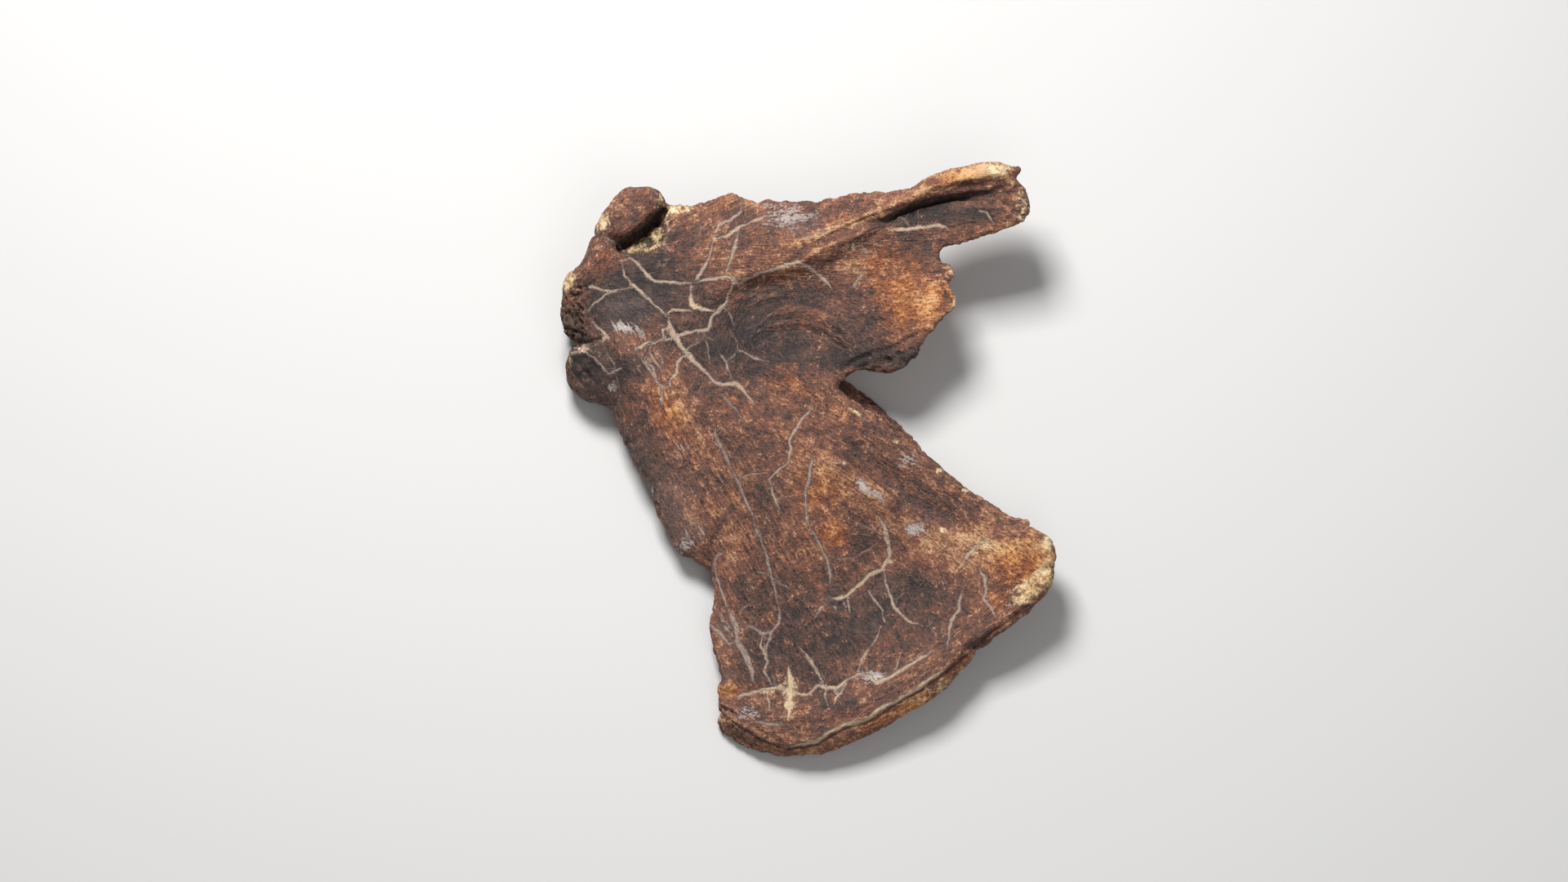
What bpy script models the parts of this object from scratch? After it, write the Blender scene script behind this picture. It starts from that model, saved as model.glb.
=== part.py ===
"""Fossil ground sloth scapula: one broken shoulder blade, lying on its outer side with the rib side up.

Run it with: blender --background --python part.py

The bone is drawn in plan, looking straight at the rib side. Plan points are the pixels of the reference
view, x to the right and y down, and PLAN_POINT is the real size of one. Heights are in millimetres towards
the viewer, and turn to metres in the mesh. The finished bone is then tipped to the way that it rests.
"""

import math

import bmesh
import bpy
import numpy as np
from mathutils import Matrix, Vector, noise

# Driving dimensions
GREATEST_LENGTH = 0.450  # metres, from the cranial process to the vertebral border
GREATEST_LENGTH_IN_PLAN = 726
PLAN_POINT = GREATEST_LENGTH / GREATEST_LENGTH_IN_PLAN
PLAN_CENTRE = (960, 540)
MM = 0.001
OUTSET = 1.2  # plan points
SLAB_HALF_THICKNESS = 0.010  # of the flat slab that is warped into the blade
SLAB_VOXEL = 0.0026
JOINED_VOXEL = 0.0020
THINNEST_WALL = 2.6  # mm, of a broken edge
TRIANGLES = 9300
BONE_COLOUR = (0.105, 0.048, 0.030, 1.0)  # dark rust brown, linear
BONE_ROUGHNESS = 0.62

# The direction in the plan's space that points down as the bone lies on its outer side, and how much of
# each resting point is worn flat
REST_DOWN = (0.045, -0.259, -0.9648)
WORN_FLAT = 0.0011

# The outline in plan, clockwise from the coracoid, in stretches that break or wear in the same way.
# Each is (points, rim): rim is how far in the edge is rounded, in plan points, and how far it falls, in mm,
# first on the rib side and then on the outer side. The last number is 0 for a round edge, 1 for a bevel.
CORACOID_EDGE = [
    (729, 284), (729, 275), (735, 268), (742, 260), (745, 250), (753, 239), (765, 228), (782, 229),
    (795, 227), (805, 232), (811, 241), (814, 251),
]
CRANIAL_BORDER = [
    (828, 250), (845, 251), (866, 244), (880, 239), (893, 233), (905, 237), (913, 244), (930, 246),
    (942, 242), (956, 246), (988, 246), (1018, 243), (1039, 239), (1052, 235), (1075, 235), (1102, 233),
]
PROCESS_EDGE = [
    (1119, 230), (1131, 221), (1144, 214), (1165, 208), (1186, 203), (1203, 199), (1219, 198),
    (1230, 202), (1235, 208), (1240, 204), (1246, 204), (1247, 211), (1241, 216), (1246, 222),
    (1256, 232), (1261, 245), (1260, 258), (1256, 267), (1245, 275), (1228, 281), (1211, 287),
    (1190, 295), (1174, 299),
]
BROKEN_LOBE = [
    (1161, 300), (1152, 306), (1149, 314), (1151, 320), (1163, 324), (1169, 330), (1170, 336),
    (1164, 343), (1160, 349), (1167, 357), (1171, 366), (1170, 375), (1164, 384), (1152, 391),
    (1145, 404), (1131, 416), (1128, 425), (1125, 435), (1114, 444), (1102, 452), (1089, 456),
    (1075, 454), (1060, 451), (1044, 455), (1035, 462), (1027, 469), (1023, 477),
]
BROKEN_SPINE_EDGE = [
    (1036, 486), (1053, 498), (1070, 511), (1081, 521), (1097, 533), (1113, 543), (1128, 554),
    (1147, 568), (1165, 586), (1184, 601), (1202, 618), (1210, 627), (1216, 635), (1231, 642),
    (1246, 645), (1262, 646),
]
VERTEBRAL_CORNER = [
    (1273, 653), (1286, 662), (1290, 676), (1292, 688), (1288, 697), (1289, 705), (1287, 714),
    (1273, 733), (1254, 750), (1236, 765), (1217, 778),
]
VERTEBRAL_BORDER = [
    (1206, 789), (1191, 796), (1189, 805), (1183, 811), (1169, 827), (1151, 846), (1132, 859),
    (1110, 871), (1084, 886), (1058, 899), (1032, 911), (1006, 920), (980, 924), (954, 923),
    (929, 919), (906, 910), (888, 899), (879, 887), (878, 877),
]
CAUDAL_EDGE = [
    (883, 866), (881, 853), (878, 844), (884, 830), (881, 811), (873, 795), (873, 779), (868, 766),
    (874, 744), (876, 722), (874, 708), (871, 697),
]
AXILLARY_BORDER = [
    (861, 695), (847, 685), (833, 681), (825, 672), (815, 651), (804, 629), (797, 611), (796, 595),
    (787, 587), (773, 562), (764, 540), (755, 519), (753, 504), (748, 497),
]
GLENOID_EDGE = [
    (742, 492), (738, 495), (723, 491), (709, 486), (700, 477), (694, 466), (692, 450), (694, 433),
    (700, 427), (712, 425), (722, 420), (712, 415), (699, 413), (691, 409), (684, 404), (682, 392),
    (683, 381), (687, 367), (688, 354), (691, 341), (697, 333), (705, 329), (712, 324), (716, 312),
    (718, 301), (724, 291), (731, 287),
]
STRETCHES = (
    (CORACOID_EDGE, (12, 8, 14, 9, 0)),
    (CRANIAL_BORDER, (7, 3, 9, 4, 0.3)),
    (PROCESS_EDGE, (7, 4, 10, 5, 0.2)),
    (BROKEN_LOBE, (4, 1.5, 4, 1, 0.6)),
    (BROKEN_SPINE_EDGE, (5, 2, 6, 3, 0.4)),
    (VERTEBRAL_CORNER, (10, 8, 12, 6, 0.7)),
    (VERTEBRAL_BORDER, (20, 14, 8, 4, 0.9)),
    (CAUDAL_EDGE, (5, 2.5, 6, 3, 0.3)),
    (AXILLARY_BORDER, (27, 14, 16, 7, 0.1)),
    (GLENOID_EDGE, (9, 7, 16, 9, 0)),
)

# Stations that the blade passes through: plan x, plan y, height of the rib side, and thickness, in mm.
STATIONS = (
    (775, 258, 6, 32), (742, 275, 4, 30), (722, 322, 7, 36), (704, 366, 1, 40), (702, 400, -3, 40),
    (704, 466, -13, 34), (722, 440, -3, 42), (736, 484, -11, 36), (770, 400, 8, 44), (786, 470, 5, 38),
    (850, 400, 8, 27), (850, 330, 5, 16), (885, 250, -3, 8), (832, 262, 0, 11), (980, 256, 1, 8),
    (925, 300, 4, 10), (1060, 246, 2, 10), (930, 392, -12, 8), (968, 408, -11, 8), (1030, 350, -6, 6),
    (1095, 330, -2, 6), (1120, 375, 3, 6), (1160, 370, 4, 5.5), (1080, 430, -4, 8), (1005, 462, -2, 13),
    (1150, 280, -3, 8), (1240, 248, 2, 14), (1200, 214, 0, 16), (940, 500, 6, 17), (890, 480, 9, 21),
    (890, 570, 5, 13), (815, 560, 1, 23), (776, 535, -2, 24), (838, 640, 0, 16), (866, 680, -3, 11),
    (960, 640, 1, 9), (960, 720, -5, 7), (1060, 740, -10, 6.5), (1110, 600, -2, 11), (1022, 500, 1, 13),
    (1200, 632, 3, 16), (1262, 684, 11, 22), (1180, 720, 0, 11), (1150, 800, 8, 19), (1060, 858, 9, 21),
    (980, 888, 7, 21), (900, 880, 2, 18), (888, 780, -3, 9), (1232, 752, 9, 19),
)


class Crest:
    """A long rise, or a groove where its heights are negative, along points (plan x, plan y, height)."""

    def __init__(self, points, left_reach, right_reach):
        self.points = points
        self.left_reach = left_reach
        self.right_reach = right_reach


# Of the rib side. Left and right are as one walks along the points, with the plan the right way up.
RIB_SIDE_CRESTS = (
    Crest([(872, 356, 1), (905, 342, 3), (945, 326, 4), (985, 307, 5), (1040, 278, 7), (1090, 252, 9),
           (1130, 232, 11), (1180, 217, 12), (1226, 210, 9)], 17, 9),
    Crest([(985, 318, -1), (1040, 292, -3), (1090, 268, -5), (1150, 252, -7), (1200, 246, -5),
           (1240, 234, -2)], 6, 14),
    Crest([(1042, 281, -2), (1091, 266, -4), (1137, 249, -6), (1183, 242, -6), (1230, 236, -3)], 4, 5),
    Crest([(890, 366, -1), (905, 352, -3), (950, 342, -4), (1000, 330, -2), (1030, 318, -1)], 7, 12),
    Crest([(905, 420, 1), (935, 390, 4), (975, 378, 6), (1020, 388, 5), (1056, 414, 2)], 10, 24),
    Crest([(975, 530, 1), (1000, 548, 4), (1036, 568, 6), (1062, 588, 6.5), (1096, 617, 4),
           (1150, 650, 1)], 8, 30),
    Crest([(1000, 536, -1), (1050, 563, -4), (1090, 590, -4), (1125, 615, -3), (1165, 640, -2)], 16, 8),
    Crest([(742, 395, 2), (770, 440, 4), (795, 490, 5), (815, 545, 4), (835, 620, 3), (872, 668, 1)],
          18, 22),
    Crest([(898, 876, 2), (940, 878, 3), (985, 874, 4), (1025, 864, 4), (1057, 855, 4), (1090, 840, 4),
           (1120, 824, 4), (1150, 806, 3), (1190, 778, 2)], 13, 16),
    Crest([(905, 850, -1), (951, 842, -2), (988, 850, -2.5), (1025, 842, -2.5), (1064, 827, -2.5),
           (1105, 818, -2), (1142, 795, -1)], 6, 5),
    Crest([(875, 520, -1), (912, 610, -2), (938, 680, -2), (955, 770, -1)], 6, 9),
    Crest([(850, 414, 1), (900, 428, 4), (950, 448, 5), (1005, 478, 3)], 15, 18),
    Crest([(886, 638, -1), (872, 664, -3), (868, 692, -5)], 4, 4),
    Crest([(716, 419, -8), (734, 414, -4), (752, 404, -1)], 4, 4),
    Crest([(697, 433, 2), (713, 427, 4), (727, 437, 4), (738, 449, 4), (748, 462, 2)], 6, 4),
    Crest([(1290, 697, -4), (1268, 702, -2), (1240, 712, -0.5)], 4, 6),
    Crest([(693, 372, -5), (701, 380, -3), (698, 398, -6), (712, 409, -3)], 4, 5),
    Crest([(703, 345, 4), (722, 316, 4), (740, 296, 2)], 9, 9),
)
# The crescent pit of the coracoid foramen, half filled with matrix
FORAMEN_PIT = (
    Crest([(761, 300, -10), (774, 295, -18), (790, 284, -20), (803, 270, -19), (811, 256, -14)], 8, 6),
    Crest([(771, 307, -6), (787, 301, -8), (802, 291, -9), (811, 279, -8), (815, 266, -5)], 5, 5),
    Crest([(729, 287, -3), (745, 292, -3), (757, 301, -3)], 3, 3),
)
# Of the outer side, as extra thickness: the border ridge of the fossa, and the fillet at the spine's root
OUTER_SIDE_CRESTS = (
    Crest([(795, 470, 4), (822, 560, 6), (850, 640, 6), (895, 740, 4), (915, 830, 2)], 16, 20),
    Crest([(880, 448, 4), (960, 486, 7), (1040, 528, 6), (1130, 594, 5), (1235, 658, 3)], 24, 24),
    Crest([(840, 300, 2), (900, 272, 4), (1000, 262, 4), (1100, 250, 4)], 14, 20),
    Crest([(900, 640, -2), (940, 740, -3), (1000, 820, -1)], 22, 30),
)

# The spine on the outer side: plan x and y of its root, then of its free edge, the height of that edge
# below the plan, in mm, and the thickness there, in mm. It leans towards the cranial side.
SPINE_STATIONS = (
    ((858, 446), (872, 420), -34, 11),
    ((878, 452), (896, 408), -46, 19),
    ((906, 462), (926, 413), -50, 20),
    ((950, 482), (970, 436), -53, 15),
    ((1000, 504), (1019, 459), -56, 12),
    ((1040, 526), (1060, 487), -55, 11),
    ((1085, 558), (1103, 524), -48, 9),
    ((1130, 592), (1141, 568), -40, 9),
    ((1180, 628), (1192, 609), -33, 10),
    ((1222, 654), (1238, 636), -27, 11),
    ((1248, 666), (1262, 642), -18, 11),
)
SPINE_ROOT_HEIGHT = -4  # mm, inside the blade
SPINE_ROOT_THICKNESS = 13
SPINE_WAIST = 0.72  # how thin the plate is half way down, beside its free edge

# The coracoid knob and the fullness of the glenoid end: plan centre, height, then half sizes in mm along
# and across the long axis and in height, and the long axis's turn in plan, in degrees.
LUMPS = (
    ("knob", (768, 260), 5, (28, 15, 13), 37),
    ("knob tip", (788, 246), 6, (12.5, 12, 12), 0),
    ("coracoid root", (744, 304), -13, (26, 13, 15), 62),
    ("glenoid body", (742, 392), -17, (60, 20, 23), -86),
)
# The shallow dish of the shoulder joint: the same kind of shape, that only cuts the end of the bone
GLENOID_DISH = ("dish", (668, 396), -24, (50, 17, 18), -84)
# How the whole blade leans in the view, as rise over run: its right and its lower end come nearer
LEAN = (0.09, -0.13)


def plan_to_world(x, y):
    """Metres, x right and y up, of a plan point."""
    return (x - PLAN_CENTRE[0]) * PLAN_POINT, (PLAN_CENTRE[1] - y) * PLAN_POINT


def as_plan(points):
    """Plan points of an array of world x and y."""
    plan = np.empty((len(points), 2))
    plan[:, 0] = points[:, 0] / PLAN_POINT + PLAN_CENTRE[0]
    plan[:, 1] = PLAN_CENTRE[1] - points[:, 1] / PLAN_POINT
    return plan


def nearest_on_path(plan, path, closed=False):
    """For each plan point: its distance to the path, its side (over 0 is right) and the path's values."""
    path = np.array(path, float)
    starts = path
    ends = np.roll(path, -1, axis=0)
    if not closed:
        starts, ends = path[:-1], path[1:]
    best = np.full(len(plan), np.inf)
    side = np.zeros(len(plan))
    values = np.zeros((len(plan), path.shape[1] - 2))
    for a, b in zip(starts, ends):
        along = b[:2] - a[:2]
        t = np.clip((plan - a[:2]) @ along / (along @ along), 0, 1)
        away = plan - a[:2] - t[:, None] * along
        distance = np.hypot(away[:, 0], away[:, 1])
        closer = distance < best
        best[closer] = distance[closer]
        side[closer] = (along[0] * away[:, 1] - along[1] * away[:, 0])[closer]
        values[closer] = (a[2:] + t[:, None] * (b[2:] - a[2:]))[closer]
    return best, side, values


def outset_outline():
    """The outline's points moved out a little, for what the remeshing rounds off its corners."""
    points = np.array([p for stretch, _ in STRETCHES for p in stretch], float)
    along = np.roll(points, -1, axis=0) - np.roll(points, 1, axis=0)
    outward = np.stack((along[:, 1], -along[:, 0]), axis=1)
    return points + OUTSET * outward / np.hypot(outward[:, 0], outward[:, 1])[:, None]


def crest_heights(plan, crests):
    """The sum of the crests' heights at each plan point, in mm."""
    total = np.zeros(len(plan))
    for crest in crests:
        distance, side, height = nearest_on_path(plan, crest.points)
        reach = np.where(side > 0, crest.right_reach, crest.left_reach)
        total += height[:, 0] * np.exp(-((distance / reach) ** 2))
    return total


def through_stations(plan, values):
    """A smooth sheet bent through the stations' values, read at each plan point."""
    places = np.array([station[:2] for station in STATIONS], float) / 100
    count = len(places)

    def bending(a, b):
        return ((a[:, None, :] - b[None, :, :]) ** 2).sum(axis=2) ** 1.5

    system = np.zeros((count + 3, count + 3))
    system[:count, :count] = bending(places, places)
    system[:count, count] = 1
    system[:count, count + 1:] = places
    system[count:, :count] = system[:count, count:].T
    weights = np.linalg.solve(system, np.append(values, (0, 0, 0)))
    at = plan / 100
    return bending(at, places) @ weights[:count] + weights[count] + at @ weights[count + 1:]


def rim_settings(plan):
    """The rim's five numbers near each plan point, blended between neighbouring stretches."""
    points = np.array([p for stretch, _ in STRETCHES for p in stretch], float)
    settings = np.array([rim for stretch, rim in STRETCHES for _ in stretch], float)
    square = ((plan[:, None, :] - points[None, :, :]) ** 2).sum(axis=2)
    weight = np.exp(-(square - square.min(axis=1, keepdims=True)) / 250)
    return (weight @ settings) / weight.sum(axis=1, keepdims=True)


def rounding(distance, reach, bevel):
    """From 1 at the edge to 0 at reach and beyond, between a quarter circle and a straight bevel."""
    inward = np.clip(distance / reach, 0, 1)
    circle = 1 - np.sqrt(np.clip(1 - (1 - inward) ** 2, 0, 1))
    return circle + bevel * (1 - inward - circle)


def blade_surfaces(plan):
    """Heights of the rib side and of the outer side at each plan point, in mm."""
    distance, _, _ = nearest_on_path(plan, outset_outline(), closed=True)
    rim = rim_settings(plan)
    rib_side = through_stations(plan, [s[2] for s in STATIONS])
    thickness = np.maximum(through_stations(plan, [s[3] for s in STATIONS]), 4)
    outer_side = rib_side - thickness - crest_heights(plan, OUTER_SIDE_CRESTS)
    rib_side = rib_side + crest_heights(plan, RIB_SIDE_CRESTS + FORAMEN_PIT)
    rib_side = rib_side - rim[:, 1] * rounding(distance, rim[:, 0], rim[:, 4])
    outer_side = outer_side + rim[:, 3] * rounding(distance, rim[:, 2], 0)
    middle = (rib_side + outer_side) / 2
    half = np.maximum((rib_side - outer_side) / 2, THINNEST_WALL / 2)
    return middle + half, middle - half


def new_object(name, mesh):
    obj = bpy.data.objects.new(name, mesh)
    bpy.context.scene.collection.objects.link(obj)
    return obj


def as_evaluated(obj, name):
    """A new mesh of the object with its modifiers applied, and the object itself removed."""
    graph = bpy.context.evaluated_depsgraph_get()
    mesh = bpy.data.meshes.new_from_object(obj.evaluated_get(graph))
    mesh.name = name
    bpy.data.objects.remove(obj)
    return mesh


def read_points(mesh):
    points = np.empty(len(mesh.vertices) * 3)
    mesh.vertices.foreach_get("co", points)
    return points.reshape(-1, 3)


def write_points(mesh, points):
    mesh.vertices.foreach_set("co", points.astype(np.float32).ravel())
    mesh.update()


def blade_mesh():
    """The outline as an even slab, remeshed finely and then warped between its two surfaces."""
    form = bmesh.new()
    outline = [plan_to_world(*p) for p in outset_outline()]
    corners = [form.verts.new((x, y, -SLAB_HALF_THICKNESS)) for x, y in outline]
    face = form.faces.new(corners)
    raised = bmesh.ops.extrude_face_region(form, geom=[face])["geom"]
    top = [item for item in raised if isinstance(item, bmesh.types.BMVert)]
    bmesh.ops.translate(form, vec=(0, 0, 2 * SLAB_HALF_THICKNESS), verts=top)
    bmesh.ops.recalc_face_normals(form, faces=form.faces)
    mesh = bpy.data.meshes.new("slab")
    form.to_mesh(mesh)
    form.free()
    slab = new_object("slab", mesh)
    remesh = slab.modifiers.new("even cells", "REMESH")
    remesh.mode = "VOXEL"
    remesh.voxel_size = SLAB_VOXEL
    blade = as_evaluated(slab, "blade")
    points = read_points(blade)
    rib_side, outer_side = blade_surfaces(as_plan(points))
    share = np.clip(points[:, 2] / (2 * SLAB_HALF_THICKNESS) + 0.5, 0, 1)
    points[:, 2] = (outer_side + share * (rib_side - outer_side)) * MM
    write_points(blade, points)
    return blade


def spine_mesh():
    """A leaning plate lofted through the spine's stations, thick at the root and at the free edge."""
    form = bmesh.new()
    rings = []
    for root, edge, edge_height, edge_thickness in SPINE_STATIONS:
        low = Vector((*plan_to_world(*edge), edge_height * MM))
        high = Vector((*plan_to_world(*root), SPINE_ROOT_HEIGHT * MM))
        across = Vector((0.55, 0.83, 0)).normalized()
        ring = []
        waist = edge_thickness * SPINE_WAIST
        outward = (low - high).normalized()
        rim = edge_thickness * 0.6
        profile = ((0, SPINE_ROOT_THICKNESS), (0.45, waist), (0.85, edge_thickness), (1.0, rim))
        for share, thickness in profile:
            ring.append(form.verts.new(high.lerp(low, share) + across * thickness * MM / 2))
        ring.append(form.verts.new(low + outward * 2 * MM))
        for share, thickness in reversed(profile):
            ring.append(form.verts.new(high.lerp(low, share) - across * thickness * MM / 2))
        rings.append(ring)
    for ring, following in zip(rings, rings[1:]):
        for i in range(len(ring)):
            j = (i + 1) % len(ring)
            form.faces.new((ring[i], ring[j], following[j], following[i]))
    form.faces.new(rings[0])
    form.faces.new(reversed(rings[-1]))
    bmesh.ops.recalc_face_normals(form, faces=form.faces)
    mesh = bpy.data.meshes.new("spine")
    form.to_mesh(mesh)
    form.free()
    return mesh


def lump_mesh(name, centre, height, half_sizes, turn):
    """An ellipsoid, given as in LUMPS."""
    form = bmesh.new()
    bmesh.ops.create_uvsphere(form, u_segments=40, v_segments=24, radius=1)
    place = Matrix.Translation((*plan_to_world(*centre), height * MM))
    place @= Matrix.Rotation(math.radians(turn), 4, "Z")
    place @= Matrix.Diagonal((*(half * MM for half in half_sizes), 1))
    bmesh.ops.transform(form, matrix=place, verts=form.verts)
    mesh = bpy.data.meshes.new(name)
    form.to_mesh(mesh)
    form.free()
    return mesh


def joined_mesh(meshes):
    """All the meshes grown into one skin, as bone is, with the joint's dish cut from its end."""
    form = bmesh.new()
    for mesh in meshes:
        form.from_mesh(mesh)
        bpy.data.meshes.remove(mesh)
    mesh = bpy.data.meshes.new("joined")
    form.to_mesh(mesh)
    form.free()
    joined = new_object("joined", mesh)
    dish = new_object("dish", lump_mesh(*GLENOID_DISH))
    dish.hide_render = True
    dish.display_type = "WIRE"
    skin = joined.modifiers.new("one skin", "REMESH")
    skin.mode = "VOXEL"
    skin.voxel_size = JOINED_VOXEL
    cut = joined.modifiers.new("joint dish", "BOOLEAN")
    cut.operation = "DIFFERENCE"
    cut.object = dish
    again = joined.modifiers.new("one skin again", "REMESH")
    again.mode = "VOXEL"
    again.voxel_size = JOINED_VOXEL
    soften = joined.modifiers.new("soften", "SMOOTH")
    soften.factor = 0.5
    soften.iterations = 1
    bone = as_evaluated(joined, "bone")
    bpy.data.objects.remove(dish)
    return bone


def roughened(mesh):
    """Lumps and flakes of weathered bone, strongest on the broken edges, from seeded noise."""
    points = read_points(mesh)
    normals = np.empty(len(points) * 3)
    mesh.vertex_normals.foreach_get("vector", normals)
    normals = normals.reshape(-1, 3)
    distance, _, _ = nearest_on_path(as_plan(points), outset_outline(), closed=True)
    edge = np.exp(-((distance / 8) ** 2))
    lumps = np.array([noise.noise(Vector(p) / 0.011) for p in points])
    flakes = np.array([noise.noise(Vector(p) / 0.0045 + Vector((7, 3, 5))) for p in points])
    push = (0.35 + 0.5 * edge) * lumps + (0.15 + 0.7 * edge) * flakes
    write_points(mesh, points + normals * push[:, None] * MM)


def leaned(mesh):
    """The heights sheared, which leaves the outline in the view as it is."""
    points = read_points(mesh)
    points[:, 2] += points[:, 0] * LEAN[0] + points[:, 1] * LEAN[1]
    write_points(mesh, points)


def thinned(mesh):
    """Fewer triangles, kept where the shape needs them."""
    mesh.calc_loop_triangles()
    bone = new_object("thinned", mesh)
    fewer = bone.modifiers.new("fewer triangles", "DECIMATE")
    fewer.ratio = TRIANGLES / len(mesh.loop_triangles)
    return as_evaluated(bone, "scapula")


def rest_rotation():
    return Vector(REST_DOWN).rotation_difference(Vector((0, 0, -1))).to_matrix()


def worn_flat(mesh):
    """The lowest points trimmed to one level, so that the bone stands on small flats."""
    rotation = rest_rotation()
    lowest = min((rotation @ vertex.co).z for vertex in mesh.vertices)
    down = rotation.inverted() @ Vector((0, 0, -1))
    form = bmesh.new()
    form.from_mesh(mesh)
    everything = form.verts[:] + form.edges[:] + form.faces[:]
    level = -down * (lowest + WORN_FLAT)
    bmesh.ops.bisect_plane(form, geom=everything, plane_co=level, plane_no=down, clear_outer=True)
    bmesh.ops.holes_fill(form, edges=[edge for edge in form.edges if edge.is_boundary])
    bmesh.ops.triangulate(form, faces=[face for face in form.faces if len(face.verts) > 3])
    form.to_mesh(mesh)
    form.free()


def bone_material():
    material = bpy.data.materials.new("fossil_bone")
    material.use_nodes = True
    shader = material.node_tree.nodes["Principled BSDF"]
    shader.inputs["Base Color"].default_value = BONE_COLOUR
    shader.inputs["Roughness"].default_value = BONE_ROUGHNESS
    shader.inputs["Metallic"].default_value = 0.0
    return material


def stand_on_floor(obj):
    """Tips the bone to its rest, with the middle of its box over the origin and its lowest points at 0."""
    rotation = rest_rotation()
    points = read_points(obj.data) @ np.array(rotation).T
    low, high = points.min(axis=0), points.max(axis=0)
    obj.rotation_euler = rotation.to_euler()
    obj.location = (-(low[0] + high[0]) / 2, -(low[1] + high[1]) / 2, -low[2])


def main():
    for obj in list(bpy.data.objects):
        bpy.data.objects.remove(obj)
    bone = joined_mesh([blade_mesh(), spine_mesh()] + [lump_mesh(*lump) for lump in LUMPS])
    roughened(bone)
    leaned(bone)
    bone = thinned(bone)
    worn_flat(bone)
    scapula = new_object("scapula", bone)
    bone.shade_smooth()
    bone.materials.append(bone_material())
    stand_on_floor(scapula)


main()
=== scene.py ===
"""Looks of the fossil ground sloth scapula: the fine skin of the bone, its sediment and its stains.

The bone is described in plan, as its CAD source does: plan points are the pixels of the reference view,
which looks straight at the rib side, x to the right and y down. PLAN_POINT is the real size of one.
Heights are in millimetres towards the viewer.
"""

import math

import bmesh
import bpy
import numpy as np
from mathutils import Matrix, Vector, noise


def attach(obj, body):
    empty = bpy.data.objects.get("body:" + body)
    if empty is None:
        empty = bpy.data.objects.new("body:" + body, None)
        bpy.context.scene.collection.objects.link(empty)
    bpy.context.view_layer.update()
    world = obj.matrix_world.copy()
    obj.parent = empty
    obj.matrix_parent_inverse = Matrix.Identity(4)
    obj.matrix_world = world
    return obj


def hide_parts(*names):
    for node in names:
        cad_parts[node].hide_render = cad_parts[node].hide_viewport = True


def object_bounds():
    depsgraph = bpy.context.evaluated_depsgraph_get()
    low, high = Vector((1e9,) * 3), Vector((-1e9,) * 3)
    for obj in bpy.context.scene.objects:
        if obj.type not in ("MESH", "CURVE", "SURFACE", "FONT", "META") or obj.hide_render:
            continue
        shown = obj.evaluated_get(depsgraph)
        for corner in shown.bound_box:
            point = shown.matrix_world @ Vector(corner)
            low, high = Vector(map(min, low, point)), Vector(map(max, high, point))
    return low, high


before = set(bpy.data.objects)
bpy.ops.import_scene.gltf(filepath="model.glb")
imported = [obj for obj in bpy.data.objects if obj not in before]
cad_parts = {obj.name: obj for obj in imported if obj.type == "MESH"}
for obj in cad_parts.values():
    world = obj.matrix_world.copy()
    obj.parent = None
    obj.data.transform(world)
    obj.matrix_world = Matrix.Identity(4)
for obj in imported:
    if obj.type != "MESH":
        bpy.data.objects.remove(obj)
cad_low, cad_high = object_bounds()

# How the plan lies in the row: the same driving dimensions as in the CAD source
GREATEST_LENGTH = 0.450  # metres
GREATEST_LENGTH_IN_PLAN = 726
PLAN_POINT = GREATEST_LENGTH / GREATEST_LENGTH_IN_PLAN
PLAN_CENTRE = (960, 540)
PLAN_WIDTH = 1920  # of the whole reference view
REST_DOWN = (0.045, -0.259, -0.9648)  # the plan's direction that points down as the bone lies
PLAN_CENTRE_AT = (-0.017242, 0.012474, 0.046633)  # metres, where the plan's centre is at rest
MM = 0.001

# Lumps of noise are given as (size in mm, seed), and octaves where there aren't 2
SEED_STEPS = (17.3, 5.1, 9.7)  # how far apart the noise of two seeds is taken
FRACTAL = (1.0, 2.0)  # how much weaker each octave is, as a power, and how many times finer

# The filled cracks
CRACK_OPEN = 0.39  # the share of its listed width that a crack is open to each side
CRACK_TAPER = 16  # plan points over which it narrows towards its ends
CRACK_END = 0.45  # the share of its opening that is left there
CRACK_WANDER = 1.8  # plan points that its route wanders
CRACK_WANDER_LUMPS = ((6, 11), (6, 12))  # across and down
CRACK_NARROWING = 0.38  # mm that its edges come and go
CRACK_NARROWING_LUMPS = (14, 13)
POOL_OPEN = 0.55  # the share of its listed radius that a pool is open
FAR_FROM_CRACKS = 30.0  # mm, where no crack is near enough to matter

# The skin's mesh
SKIN_CELL = 0.00150  # metres
EVENING_ROUNDS = 18  # pairs of rounds that take the facets off
EVENING_IN = 0.50  # the share of the way that the first of a pair moves in, and the second back out
EVENING_OUT = 0.51
NORMAL_ROUNDS = 2  # of evening, for the directions that the relief is pushed in
SKIN_TRIANGLES = 198000  # in all, for which only the unseen outer side and the rims give up faces
RIB_SIDE_FACES = 0.2  # how far towards the viewer a part of the rib side faces at the least
TUCKED_IN = 0.00015  # metres that the skin stays inside the CAD model's box, but for the foot

# From not at all to fully: where a point counts as the rib side, as it faces the viewer more, and as flat
# rather than steep, as it faces the viewer or away more
RIB_SIDE_IN_RELIEF = (0.15, 0.50)
RIB_SIDE_IN_MARKS = (-0.15, 0.10)
FLAT_IN_RELIEF = (0.35, 0.80)
FLAT_IN_MARKS = (0.15, 0.50)

# The marks
MARK_ROUNDS = 4  # of evening, for the way that a point faces
TINT_ROUNDS = 2  # of evening, for the tint of the fill
# The hollows and crests found with these rounds darken and lighten the tone as painted shade
BROAD_CREST_ROUNDS = 14  # of evening, which a point's height is compared with
FINE_CREST_ROUNDS = 2
CREST_LIMIT = 2.5  # the most that a crest or hollow counts, in units of what is usual
RIMS_ARE_RAW = 0.6  # how raw the steep rims are, where broken bone is 1
RAWEST = 1.2  # the most that a point counts as raw

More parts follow.
